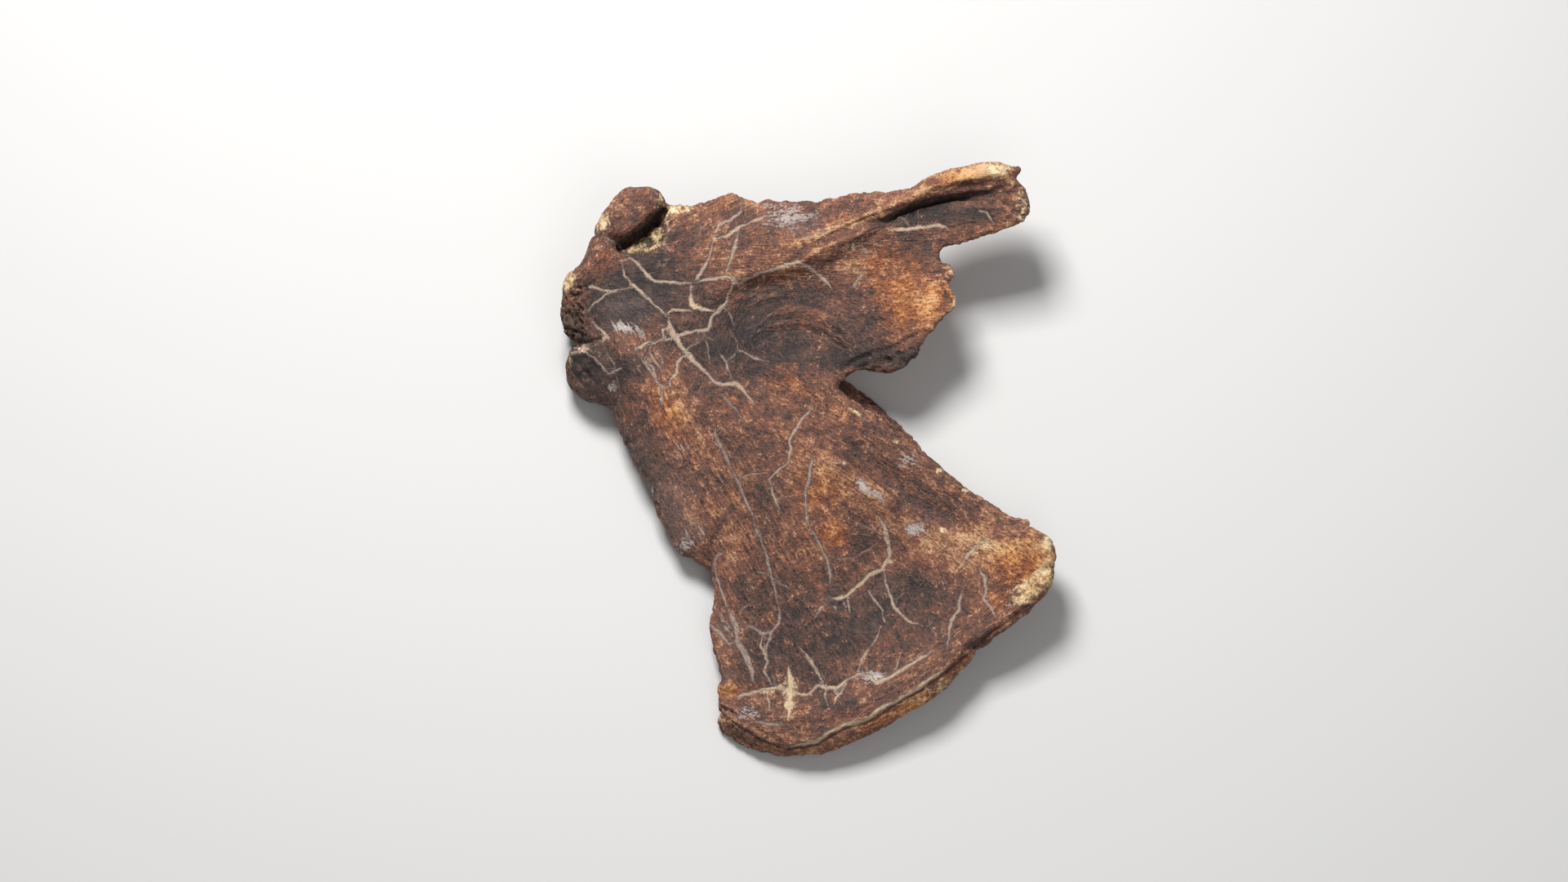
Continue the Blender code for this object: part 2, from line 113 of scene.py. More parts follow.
# The fibres of the bone spread from this plan point, near the joint, except where they turn: (plan x,
# plan y, reach, degrees that they run at, clockwise from the right)
FIBRE_POLE = (720, 330)
FIBRE_POLE_PULL = 0.12  # where the middle of a turn pulls by 1
FIBRE_TURNS = (
    (905, 402, 26, -58), (935, 382, 26, -25), (975, 372, 26, 0), (1020, 385, 26, 22), (1055, 415, 26, 38),
    (960, 415, 22, 5), (900, 880, 24, 12), (960, 893, 26, -6), (1020, 880, 26, -20), (1080, 858, 26, -28),
    (1135, 828, 26, -34), (1185, 790, 24, -38), (1235, 745, 22, -40), (770, 262, 34, -42),
    (712, 322, 26, -62), (694, 372, 20, -80), (705, 455, 20, 70),
)
BUNDLE_STEP = 30  # degrees between the ways that the streaks are drawn
BUNDLES = range(0, 180, BUNDLE_STEP)
STREAK_STRETCH = 6  # how much longer than wide a streak is
LEAST_SHARE = 0.01  # of a way of the streaks that is worth drawing

# Cracks filled with sediment: (width in plan points, tint from 0 grey to 1 cream, then the plan x and y of
# each bend from end to end)
FILLED_CRACKS = (
    (5, 0.6, 770, 314, 782, 324, 791, 336, 801, 343, 815, 344.5, 833, 346.5, 846, 346.5),
    (5, 0.6, 850, 346, 862, 342, 876, 341, 889, 338, 898, 339),
    (6, 0.5, 898, 343, 905, 347, 913, 341, 925, 336, 947, 329, 964, 323, 978, 319, 983, 324, 997, 330,
        1009, 341, 1017, 351),
    (6, 0.5, 898, 347, 891, 359, 890, 371, 881, 378, 873, 386, 870, 396, 864, 404, 852, 405, 840, 408,
        827, 412),
    (6, 0.8, 846, 351, 845, 361, 845, 373, 862, 378, 872, 381),
    (5, 0.8, 844, 380, 833, 380, 823, 378, 818, 382),
    (5, 0.6, 817, 385, 811, 381, 801, 373, 791, 363, 780, 354, 772, 346, 764, 337, 762, 322),
    (7, 0.5, 819, 390, 821, 401, 825, 410, 833, 422, 840, 431, 850, 443, 862, 454, 872, 464, 879, 470,
        891, 470, 901, 469, 908, 475, 913, 483, 921, 492),
    (4, 0.2, 882, 483, 890, 490, 899, 498, 906, 508, 910, 515),
    (4, 0.8, 821, 401, 811, 404, 811, 413, 803, 420, 795, 419, 782, 426),
    (5, 0.6, 825, 412, 811, 416, 801, 420),
    (5, 0.7, 836, 437, 829, 445, 829, 456, 820, 465, 820, 472, 813, 476),
    (3, 0.5, 842, 426, 852, 421, 860, 416, 862, 410), (3, 0.5, 862, 406, 864, 418, 867, 431, 868, 441),
    (3, 0.5, 864, 411, 874, 416), (4, 0.4, 889, 378, 895, 386, 897, 396),
    (4, 0.4, 884, 435, 889, 443, 891, 453, 895, 463), (3, 0.4, 891, 441, 899, 433),
    (3, 0.3, 903, 428, 912, 432, 922, 437, 932, 441, 942, 443), (3, 0.3, 894, 406, 901, 416, 903, 424),
    (4, 0.5, 713, 351, 725, 350, 738, 355, 748, 356, 758, 354, 773, 352),
    (4, 0.5, 748, 356, 738, 363, 727, 371, 719, 380),
    (5, 0.6, 727, 394, 731, 400, 738, 406, 743, 412, 735, 416, 723, 420, 715, 423, 707, 428),
    (4, 0.6, 697, 433, 713, 427, 719, 432, 729, 440, 738, 450, 744, 458, 752, 454, 760, 452),
    (3, 0.4, 778, 428, 787, 442, 796, 453, 803, 465, 812, 474, 811, 487, 809, 498),
    (3, 0.5, 801, 420, 795, 428, 799, 439, 806, 448, 810, 456),
    (5, 0.6, 908, 249, 907, 259, 880, 275, 876, 282),
    (5, 0.6, 938, 263, 919, 271, 903, 279, 889, 288, 876, 292),
    (4.5, 0.6, 874, 292, 868, 314, 862, 326, 854, 337, 849, 345),
    (4, 0.5, 905, 280, 902, 294, 897, 308, 893, 320, 889, 331), (4, 0.2, 1000, 256, 997, 267),
    (5, 0.8, 1087, 279, 1097, 280, 1110, 281, 1122, 278, 1134, 276, 1146, 276, 1157, 277, 1162, 280),
    (3, 0.7, 1200, 258, 1208, 260, 1212, 267, 1217, 274), (4, 0.6, 1051, 326, 1054, 337, 1045, 348),
    (3, 0.6, 1044, 296, 1045, 306), (3, 0.5, 731, 287, 745, 291, 757, 300, 765, 310),
    (4.5, 0.2, 875, 518, 875, 532, 883, 546, 893, 570, 903, 587, 911, 606, 920, 626, 927, 647, 932, 661,
        938, 679, 942, 695, 949, 721, 953, 743, 954, 762, 945, 773, 940, 788),
    (4, 0.7, 995, 497, 980, 518, 966, 538, 969, 551, 964, 566, 951, 577, 942, 588, 947, 606, 953, 621),
    (3, 0.6, 907, 585, 922, 580, 938, 579),
    (4.5, 0.3, 995, 558, 991, 581, 986, 603, 987, 625, 990, 641, 995, 651, 1006, 671, 1015, 691, 1017, 714),
    (4, 0.6, 1014, 736, 1003, 747, 999, 754),
    (6, 0.7, 1016, 734, 1036, 730, 1051, 716, 1065, 704, 1080, 697, 1090, 680, 1086, 662, 1083, 645,
        1075, 632),
    (4, 0.6, 1038, 732, 1041, 747), (5, 0.6, 1082, 699, 1086, 721, 1095, 743, 1110, 758, 1128, 765),
    (4, 0.8, 1208, 656, 1193, 670, 1182, 682, 1178, 690),
    (5, 0.5, 1198, 695, 1205, 707, 1206, 721, 1203, 733, 1211, 741, 1217, 754),
    (5, 0.5, 1179, 719, 1175, 730, 1173, 745, 1164, 759, 1161, 773, 1159, 792),
    (5, 0.7, 901, 852, 918, 849, 936, 842, 951, 841, 968, 847, 988, 850, 1001, 838, 1025, 842, 1038, 831,
        1051, 824, 1064, 827, 1072, 835, 1088, 828, 1105, 818, 1120, 808, 1133, 801, 1142, 795),
    (7, 0.8, 968, 912, 984, 909, 999, 906, 1016, 895, 1033, 886, 1049, 883, 1062, 878, 1077, 867, 1094, 857,
        1111, 848, 1124, 840, 1137, 830, 1155, 819),
    (9, 1.0, 965, 817, 968, 830, 968, 852, 967, 867, 965, 878), (4, 0.7, 987, 804, 997, 815, 1002, 825),
    (10, 0.2, 892, 747, 901, 765, 903, 784, 914, 804, 920, 819, 922, 832),
    (8, 0.2, 869, 765, 882, 775, 893, 788, 903, 784), (5, 0.3, 908, 762, 921, 767, 932, 775, 945, 773),
    (4, 0.4, 886, 675, 877, 682, 872, 693), (4, 0.4, 879, 677, 875, 694, 882, 720, 892, 747),
    (7, 0.4, 1075, 632, 1083, 645, 1087, 662, 1090, 680),
    (3.5, 0.8, 935, 774, 930, 790, 941, 809, 935, 820, 944, 836), (3, 0.7, 1064, 793, 1072, 780, 1079, 768),
    (3, 0.6, 806, 470, 800, 452, 790, 440), (6.5, 0.1, 927, 882, 942, 885, 955, 886, 966, 887),
    (4, 0.7, 1049, 821, 1055, 806, 1064, 793), (4, 1.0, 937, 843, 941, 856, 942, 867),
    (2.5, 0.5, 1019, 683, 1032, 684, 1044, 683, 1063, 673, 1073, 666),
    (2.5, 0.7, 1063, 724, 1071, 736, 1080, 746, 1082, 760), (2.5, 0.7, 946, 777, 937, 794, 942, 809),
    (2.5, 0.8, 981, 794, 992, 806, 1000, 818, 1007, 833),
    (3, 0.8, 1020, 842, 1026, 850, 1031, 846, 1038, 833), (3, 1.0, 1026, 848, 1022, 858),
    (2.5, 0.7, 1102, 800, 1098, 812, 1092, 826), (2.5, 0.7, 1012, 836, 1010, 850, 1014, 862),
    (2.5, 0.5, 855, 404, 857, 416, 852, 421), (2.5, 0.4, 930, 700, 946, 706, 958, 716, 975, 722),
    (2.5, 0.5, 801, 424, 808, 434, 812, 446), (2.5, 0.5, 742, 430, 752, 444, 752, 454),
)
# Where the fill widens: (plan x, plan y, radius in plan points, tint)
FILL_POOLS = (
    (847, 350, 5, 0.7), (898, 343, 6, 0.5), (850, 375, 6.5, 1.0), (801, 420, 5, 0.7), (874, 291, 5, 0.8),
    (1045, 303, 5, 0.9), (1047, 346, 4, 0.8), (1035, 313, 3, 0.8), (935, 338, 4, 0.8), (922, 388, 3, 0.8),
    (966, 862, 12, 1.0), (967, 845, 10, 1.0), (956, 839, 6, 0.9), (940, 847, 6, 0.9), (988, 634, 5, 0.4),
    (1090, 688, 6, 0.7), (1021, 565, 4, 0.9), (1033, 568, 4, 0.9), (750, 474, 5, 0.1), (809, 488, 4, 0.9),
    (713, 425, 6, 0.7), (978, 321, 6, 0.6), (822, 408, 6, 0.6),
)

# Stains of the bone itself, and a few patches of painted shade and light among them: (plan x, plan y, reach
# across, reach down, strength, and degrees where it is turned), where a strength over 0 is towards orange
# and tan, and under 0 towards dark brown
STAINS_AND_PAINTED_SHADING = (
    (1128, 368, 50, 34, 0.34, 10), (1075, 318, 40, 22, 0.16), (1115, 425, 22, 16, 0.1),
    (1070, 375, 16, 24, -0.16, -20), (1070, 440, 40, 12, -0.24), (1180, 210, 62, 13, 0.26, -12),
    (1215, 205, 26, 12, 0.2), (1240, 258, 22, 20, 0.16), (1238, 226, 18, 12, 0.2),
    # (1150, 248) on the next line is painted shade in the groove under the process's rolled ridge
    (1150, 248, 72, 9, -0.3, -12), (1085, 272, 40, 6, -0.2, -20), (1150, 288, 40, 12, -0.04),
    (1020, 285, 40, 12, 0.12, -20), (890, 242, 26, 10, 0.12), (878, 292, 26, 30, 0.1),
    (840, 258, 24, 10, 0.16), (815, 315, 30, 16, -0.14, 10), (775, 258, 26, 18, 0.04, 30),
    (735, 318, 16, 34, 0.03, 25), (775, 368, 42, 26, -0.24, 10), (705, 390, 26, 30, -0.18),
    (718, 455, 26, 34, -0.32), (765, 450, 26, 26, -0.14), (770, 415, 22, 10, 0.08),
    (812, 460, 18, 42, 0.1, -20), (838, 505, 26, 44, 0.14, -30), (878, 480, 26, 20, 0.04),
    (905, 410, 40, 26, -0.16, -20), (925, 385, 42, 30, -0.22, -20), (1000, 400, 60, 30, -0.04),
    (985, 360, 46, 16, -0.08), (975, 490, 60, 24, 0.12, 30), (1045, 520, 40, 18, 0.02, 35),
    (1040, 560, 30, 18, -0.1, 40), (1000, 575, 26, 22, 0.2, 20), (965, 560, 24, 34, 0.08, 30),
    (1015, 655, 18, 16, 0.2), (985, 660, 26, 30, 0.08), (1120, 570, 30, 20, -0.04, 40),
    (1130, 618, 46, 20, -0.12, 35), (1170, 660, 40, 20, 0.14), (1240, 672, 40, 26, 0.26, 20),
    (1270, 690, 22, 22, 0.14), (1215, 730, 30, 18, 0.1, -35), (1125, 722, 46, 26, -0.2, 20),
    (1060, 670, 26, 26, -0.16), (1060, 770, 50, 30, -0.26, -20), (975, 740, 40, 46, -0.16),
    (990, 800, 46, 40, -0.2), (930, 800, 26, 40, -0.14), (925, 715, 40, 34, -0.02),
    (890, 690, 14, 34, 0.06), (860, 600, 40, 40, 0.04), (880, 595, 22, 26, 0.06),
    (780, 545, 26, 50, -0.22, -30), (815, 630, 22, 50, -0.14, -30), (935, 545, 22, 26, -0.1),
    (930, 605, 18, 40, -0.06), (1110, 780, 60, 14, -0.02, -35), (1145, 830, 50, 14, 0.12, -35),
    (1060, 878, 50, 12, 0.1, -22), (960, 895, 50, 14, -0.02), (950, 850, 36, 12, 0.12),
    (893, 845, 12, 12, 0.26), (1200, 650, 40, 10, 0.04, 30), (1200, 211, 40, 9, 0.2),
    (1185, 264, 52, 10, -0.34), (765, 355, 32, 34, -0.26), (950, 334, 40, 12, 0.3),
    (1130, 370, 26, 20, 0.1), (1040, 437, 50, 14, -0.18), (1090, 637, 24, 10, 0.08),
    (950, 637, 34, 14, 0.1), (1200, 668, 60, 14, 0.08), (1178, 688, 16, 12, 0.22),
    (1262, 712, 24, 16, 0.1, -30), (990, 362, 44, 14, -0.14), (1060, 408, 70, 28, -0.12),
    # (1122, 438) on the next line is painted shadow under the lower lobe's ledge
    (1122, 438, 18, 12, -0.45, -30), (1125, 312, 40, 12, -0.26), (945, 440, 50, 40, -0.18, -10),
    (870, 542, 20, 26, 0.08), (875, 604, 24, 20, -0.08), (1075, 640, 30, 14, 0.08, 20),
    (1035, 862, 30, 9, -0.24, -15), (920, 888, 24, 10, 0.12, 20), (1240, 250, 20, 20, -0.08),
    (1245, 690, 24, 14, -0.26), (1100, 872, 90, 9, 0.18, -25), (1215, 785, 50, 8, 0.08, -38),
    (820, 430, 60, 40, -0.06), (1020, 492, 30, 12, 0.1), (905, 312, 24, 14, 0.2), (790, 345, 46, 34, -0.2),
    (850, 390, 60, 40, -0.16, 20), (895, 440, 70, 24, -0.12, 20), (712, 440, 20, 16, -0.44),
    (1165, 660, 44, 20, 0.26), (1085, 640, 34, 14, 0.18), (1055, 322, 16, 22, 0.18),
    (1155, 368, 10, 30, -0.3), (1100, 388, 20, 12, -0.16), (1010, 440, 34, 12, -0.14),
    (825, 412, 16, 12, -0.16), (850, 440, 18, 16, -0.12), (865, 490, 26, 14, -0.14),
    (955, 510, 34, 10, -0.14), (805, 548, 16, 20, 0.1), (882, 545, 18, 12, 0.12), (915, 582, 26, 16, 0.12),
    (1060, 606, 24, 18, 0.18), (1120, 575, 14, 20, 0.12), (1175, 690, 20, 12, 0.14),
    (1235, 726, 20, 16, -0.14), (1202, 775, 24, 18, -0.2, -38), (935, 762, 24, 12, 0.13),
    (885, 787, 16, 14, 0.12), (938, 887, 24, 10, 0.14), (1254, 250, 10, 22, -0.26),
    # On the next three lines, (1125, 236) is painted light on the lower slope of the process's rolled ridge,
    # and (790, 278) and (778, 262) are painted shadow on the coracoid knob's wall above the pit
    (1212, 252, 24, 10, -0.1), (1125, 236, 50, 8, 0.1, -15), (1050, 268, 60, 9, 0.24, -18),
    (1165, 268, 36, 9, -0.16), (790, 278, 34, 8, -0.3, -42), (955, 290, 30, 12, 0.14),
    (778, 262, 12, 10, -0.22), (1190, 262, 30, 8, -0.16), (878, 590, 14, 14, -0.16),
    (1070, 438, 62, 9, -0.2, -8), (1015, 512, 24, 10, -0.12, 30), (905, 812, 14, 12, -0.16),
    (903, 862, 16, 10, -0.16), (925, 790, 12, 10, -0.14), (760, 380, 46, 20, -0.14),
    (1040, 745, 50, 44, -0.05, -20), (772, 415, 34, 13, 0.22, 18), (1118, 372, 30, 22, -0.08),
    (1062, 602, 20, 16, 0.12), (838, 662, 20, 14, 0.12), (1025, 812, 14, 12, 0.16),
    (1080, 890, 16, 8, -0.18, -20), (925, 862, 16, 12, 0.12), (965, 718, 20, 20, 0.1),
)
# Where the bone is rusty rather than brown, in the same form, and how rusty the outer side is
RUST = (
    (1118, 366, 56, 38, 0.9, 10), (1085, 320, 38, 20, 0.7), (1170, 216, 54, 12, 0.7, -14),
    (1250, 690, 40, 36, 0.8), (1165, 655, 40, 16, 0.3), (815, 505, 22, 44, 0.6, -25),
    (1000, 600, 46, 40, 0.5, 30), (1022, 655, 22, 16, 0.8), (870, 600, 40, 60, 0.25, -30),
    (975, 470, 60, 20, 0.5, 30), (740, 320, 18, 30, 0.5, 20), (1100, 874, 90, 10, 0.6, -25),
    (893, 845, 12, 12, 1.0), (885, 250, 26, 14, 0.4), (1030, 262, 50, 10, 0.3, -20),
    (900, 490, 30, 24, 0.4), (1060, 530, 40, 14, 0.4, 40), (985, 400, 30, 16, 0.3), (925, 715, 30, 40, 0.3),
    (1140, 835, 60, 12, 0.3, -35), (1225, 735, 30, 20, 0.4, -38),
)
RUST_BEHIND = 0.3
# Pale cream crust on broken rims, in the same form
CREAM_CRUST = (
    (695, 345, 9, 16, 1.0, 15), (737, 272, 8, 14, 1.0, 30), (830, 254, 18, 8, 0.9),
    (1264, 717, 34, 12, 1.3, -38), (1282, 668, 7, 16, 1.0, -10), (1226, 209, 16, 8, 0.75, -20),
    (1212, 203, 16, 5, 0.5), (1254, 262, 10, 14, 0.65, 20), (1252, 236, 8, 10, 0.5),
    (1095, 800, 50, 20, 0.2, -30), (945, 845, 16, 6, 0.45), (1060, 755, 30, 20, 0.12),
    (1180, 672, 30, 10, 0.25), (1035, 568, 16, 6, 0.4, 20), (798, 302, 22, 5, 0.8, -30),
    (815, 272, 5, 16, 0.5), (712, 427, 16, 5, 0.8, 10), (697, 440, 4, 12, 0.7),
    (1150, 838, 44, 8, 0.6, -37), (968, 850, 12, 22, 0.7), (1048, 505, 20, 4, 0.7, 35),
    (1097, 540, 6, 4, 0.8), (1149, 575, 6, 4, 0.8), (1181, 600, 6, 4, 0.8), (1167, 336, 6, 9, 0.55),
    (1170, 370, 7, 12, 0.8), (1205, 668, 14, 8, 0.5), (808, 241, 4, 12, 0.7, 10), (1156, 650, 10, 5, 0.7),
    (883, 880, 5, 8, 0.7), (1276, 708, 10, 10, 1.2), (873, 790, 4, 30, 0.4),
)
# White and grey chalky scuffs
CHALK = (
    (965, 266, 44, 16, 0.56, -15), (940, 250, 24, 8, 0.3), (1000, 285, 20, 8, 0.4, -20),
    (1055, 594, 11, 7, 0.72, 38), (1075, 607, 15, 7, 0.55, 35), (1117, 650, 16, 9, 0.5),
    (1110, 563, 14, 14, 0.5, 30), (850, 648, 26, 22, 0.3, 30), (838, 670, 14, 12, 0.4),
    (784, 408, 34, 14, 0.34, 20), (760, 400, 16, 8, 0.5), (915, 872, 24, 16, 0.5, 10),
    (1070, 828, 22, 10, 0.7), (1100, 850, 14, 6, 0.3), (833, 550, 14, 16, 0.4), (876, 545, 8, 14, 0.4),
    (890, 770, 12, 24, 0.4, -30), (1130, 640, 20, 12, 0.3), (795, 600, 10, 20, 0.4, -30),
    (1030, 740, 18, 10, 0.3), (750, 474, 7, 7, 0.75),
)
# Grey dust that dulls the colour
GREY_DUST = (
    (965, 270, 50, 24, 0.7), (760, 400, 50, 50, 0.4), (725, 455, 40, 40, 0.3), (780, 560, 30, 60, 0.8, -30),
    (825, 640, 32, 46, 1.0), (900, 870, 34, 30, 0.5), (1050, 740, 80, 50, 0.35),
    (1125, 570, 50, 20, 0.3, 35), (770, 370, 40, 26, 0.45), (880, 780, 22, 50, 0.5),
    (1080, 820, 60, 18, 0.35, -20),
)
# Broken and spongy bone, dark and pitted
RAW_BONE = (
    (700, 393, 18, 26, 1.2), (712, 455, 18, 30, 0.3), (1170, 805, 60, 12, 0.3, -38),
    # The patch at (790, 279) on the next line lies on the coracoid knob's wall: broken bone there, and its
    # dark bare coat is also painted shadow
    (1085, 440, 34, 12, 0.6, -10), (905, 895, 40, 12, 0.7, 30), (790, 279, 34, 9, 1.0, -42),
    (920, 390, 22, 20, 0.2),
)
# The yellow crumbly matrix in the pit of the coracoid foramen
PIT_MATRIX = ((785, 299, 20, 7, 1.4, -30), (804, 286, 10, 10, 1.2, -40))

# Where the surface is broken away in steps, in the form of the stains, and how deep in mm they are at most
CRAGS = (
    (697, 392, 18, 28, 1.3), (714, 352, 10, 8, 0.5), (1085, 442, 50, 10, 0.6, -12),
    (886, 872, 18, 10, 0.7, 20), (1268, 714, 30, 14, 0.7, -38), (1244, 244, 18, 26, 0.5),
    (785, 299, 22, 10, 0.7, -30), (1160, 352, 12, 26, 0.4), (716, 462, 14, 22, 0.4),
)
CRAG_DEPTH = 4.2
CRAG_LUMPS = (5, 6)
CRAG_STEP = (0.0, 0.22)  # the noise from the top to the foot of a step

# The roughness of old bone: heights in mm, and the lumps of each
SWELLING = 0.45
SWELLING_LUMPS = (14, 1)
DIMPLES = 0.26
DIMPLE_LUMPS = (5, 2)
FIBRE_RIDGES = 0.36
FIBRE_LUMPS = (3.6, 3)
PITS = 0.3
PITS_ON_RIMS = 2.0
PITS_IN_RAW_BONE = 1.8
PIT_LUMPS = (4.5, 4, 3)
PIT_CAP = 0.15  # of the noise, so that pits go in more than they stand out
RIM_BUMPS = 1.4
RIM_LUMPS = (9, 5)
RIM_CAP = 0.1
CRUST_IS_RAW = 0.5  # how rough the cream crust is, where raw bone is 1

# Sharper relief than the CAD solid has: (height in mm, reach left, reach right, then the plan x and y of
# each bend), where a height under 0 is a groove. Left and right are as one walks from bend to bend, with
# the plan upright.
SHARP_RELIEF = (
    (-8.0, 3.5, 3.5, 759, 300, 772, 291, 786, 281, 801, 270, 810, 257),
    (7.0, 3.0, 26.0, 985, 312, 1010, 300, 1036, 288, 1062, 277, 1090, 268, 1120, 258, 1150, 250, 1180, 247,
        1212, 241),
    (2.5, 5.0, 4.0, 1080, 262, 1110, 247, 1130, 238, 1155, 233, 1185, 230, 1212, 229),
    (-1.4, 1.4, 2.0, 1062, 278, 1076, 273, 1091, 267, 1113, 256, 1128, 249),
    (-2.0, 2.0, 3.0, 1126, 250, 1137, 247, 1150, 244, 1166, 245, 1183, 247),
    (-0.9, 2.0, 2.0, 1195, 247, 1215, 243, 1236, 238, 1256, 231),
    (1.0, 4.0, 2.5, 1068, 269, 1091, 262, 1113, 251, 1137, 240, 1160, 235, 1183, 232),
    (0.9, 2.0, 2.0, 1000, 292, 1030, 276, 1062, 262, 1094, 250, 1120, 238),
    (-0.8, 1.6, 1.6, 985, 303, 1012, 289, 1046, 272, 1078, 260, 1106, 248),
    (0.8, 2.0, 2.0, 1130, 232, 1160, 222, 1190, 217, 1218, 219),
    (-0.8, 1.6, 1.6, 1120, 241, 1146, 231, 1180, 224, 1210, 226),
    (0.7, 3.0, 2.0, 1100, 268, 1130, 262, 1165, 256, 1200, 258, 1232, 254),
    (1.0, 2.5, 7.0, 930, 394, 939, 388, 954, 379, 970, 377, 983, 376, 1000, 380, 1017, 388, 1050, 420),
    (-1.0, 3.0, 1.8, 926, 388, 936, 381, 952, 373, 970, 370, 988, 371, 1010, 378, 1036, 396),
    (0.7, 2.0, 2.5, 912, 378, 930, 366, 955, 359, 985, 360, 1016, 370, 1044, 388),
    (-0.6, 1.8, 1.8, 914, 370, 934, 358, 960, 352, 990, 353, 1022, 363, 1050, 381),
    (0.7, 2.0, 2.0, 918, 412, 936, 400, 958, 394, 985, 394, 1010, 402, 1036, 418),
    (-0.7, 1.8, 1.8, 924, 420, 942, 409, 964, 402, 988, 402, 1012, 411, 1034, 425),
    (-0.8, 1.8, 1.8, 896, 398, 905, 384, 916, 372),
    (-1.6, 1.8, 2.6, 1030, 452, 1048, 441, 1066, 433, 1086, 428, 1104, 419, 1122, 408),
    (-1.2, 1.4, 1.8, 1048, 450, 1066, 444, 1086, 441, 1104, 434, 1118, 424),
    (0.8, 2.4, 1.6, 1026, 446, 1046, 436, 1066, 428, 1088, 421, 1110, 410, 1134, 398),
    (-0.8, 1.4, 1.4, 1016, 436, 1040, 424, 1064, 416, 1086, 410),
    (0.8, 2.5, 5.0, 990, 545, 1036, 567, 1060, 583, 1076, 597, 1096, 615),
    (-0.9, 4.0, 3.0, 1000, 543, 1044, 564, 1068, 581, 1088, 600, 1104, 616),
    (0.9, 2.0, 5.0, 901, 856, 936, 848, 968, 854, 1001, 847, 1038, 837, 1070, 835, 1105, 820, 1142, 798),
    (1.0, 2.5, 2.0, 966, 908, 999, 902, 1033, 884, 1062, 875, 1094, 854, 1124, 838, 1155, 816, 1180, 795),
    (-1.6, 1.8, 2.4, 966, 915, 1001, 909, 1035, 890, 1065, 881, 1097, 860, 1127, 844, 1158, 821, 1184, 800),
    (-1.4, 2.0, 2.0, 1192, 792, 1212, 774, 1236, 757, 1254, 742, 1274, 728, 1287, 714),
    (0.9, 2.0, 2.0, 1190, 784, 1210, 767, 1232, 751, 1250, 736),
    (-4.0, 2.4, 2.4, 694, 419, 708, 419, 720, 420, 734, 415),
    (-0.8, 2.0, 2.0, 886, 640, 872, 664, 870, 694),
    (-1.4, 1.8, 1.8, 884, 873, 905, 890, 930, 904, 955, 914),
    (-1.0, 1.6, 1.6, 890, 866, 912, 881, 940, 896), (0.9, 1.8, 1.8, 886, 869, 908, 885, 936, 900),
    (-2.4, 2.4, 2.4, 878, 862, 886, 868, 896, 869), (1.6, 5.0, 5.0, 890, 841, 894, 843),
    (-1.4, 2.0, 2.0, 884, 850, 892, 850, 900, 846), (-0.7, 1.6, 1.6, 700, 440, 712, 452, 722, 468),
    (-0.7, 1.6, 1.6, 704, 462, 716, 474, 726, 484), (-1.0, 2.0, 2.0, 700, 352, 712, 352, 722, 348),
    (-3.0, 2.4, 2.4, 686, 380, 694, 384, 699, 390), (-2.6, 2.2, 2.2, 702, 386, 708, 392),
    (-3.2, 2.4, 2.4, 690, 402, 700, 404, 710, 409), (-2.0, 2.0, 2.0, 704, 372, 712, 378),
    (1.2, 3.0, 3.0, 690, 394, 700, 397, 712, 400), (-1.2, 1.4, 1.4, 742, 262, 748, 272, 752, 284),
    (-0.8, 1.4, 1.4, 756, 238, 764, 250, 780, 262), (1.4, 4.0, 4.0, 700, 342, 702, 350),
    (-1.4, 1.8, 1.8, 698, 362, 708, 360, 716, 356), (1.2, 5.0, 5.0, 1246, 236, 1250, 250, 1244, 266),
    (1.0, 5.0, 5.0, 1228, 216, 1238, 226), (-1.0, 1.8, 1.8, 1232, 246, 1240, 256, 1238, 268),
)
# Where the CAD solid's edges are worn soft, in the form of the stains, how many rounds wear it, and how
# many even it afterwards
WORN_SOFT = ((1025, 290, 62, 24, 1.5, -24), (1215, 240, 30, 16, 0.8, -10))
WEARING_ROUNDS = 62
WORN_EVENING = 2
# The splinter on the process's end: (plan x, plan y, height in mm), its size along, across and through in
# plan points, and the degrees that it is turned
SPLINTER = ((1240, 210, -14), (22, 8, 7), 22)
# The coracoid knob's worn flat top: middle in plan, reach in plan points, height in mm, and how much of
# what stands above it is left
KNOB_TOP = (772, 258)
KNOB_REACH = 34
KNOB_HEIGHT = -18.6
KNOB_LEFT_OVER = 0.22


def hex_colour(code):
    """Linear RGBA of an sRGB hex colour such as 6b4a38."""
    channels = []
    for i in (0, 2, 4):
        level = int(code[i:i + 2], 16) / 255
        channels.append(level / 12.92 if level <= 0.04045 else ((level + 0.055) / 1.055) ** 2.4)
    return (*channels, 1.0)


# The skin's shape

def rest_turn():
    """How the plan's space is turned to the way that the bone lies."""
    return Vector(REST_DOWN).rotation_difference(Vector((0, 0, -1))).to_matrix()


def as_plan(points):
    """Plan points of an array of places in the plan's space, in metres."""
    return points[:, :2] * (1, -1) / PLAN_POINT + PLAN_CENTRE


def read_points(mesh):
    points = np.empty(len(mesh.vertices) * 3)
    mesh.vertices.foreach_get("co", points)
    return points.reshape(-1, 3)


def read_normals(mesh):
    normals = np.empty(len(mesh.vertices) * 3)
    mesh.vertices.foreach_get("normal", normals)
    return normals.reshape(-1, 3)


def read_edges(mesh):
    edges = np.empty(len(mesh.edges) * 2, dtype=np.int64)
    mesh.edges.foreach_get("vertices", edges)
    return edges.reshape(-1, 2)


def write_points(mesh, points):
    mesh.vertices.foreach_set("co", points.astype(np.float32).ravel())
    mesh.update()


def beside(values, edges):
    """The mean of each point's neighbours, for an array with a row for each point."""
    count = len(values)
    both = np.concatenate((edges, edges[:, ::-1]))
    total = np.stack([np.bincount(both[:, 0], values[both[:, 1], i], count)
                      for i in range(values.shape[1])], axis=1)
    return total / np.bincount(both[:, 0], minlength=count)[:, None]


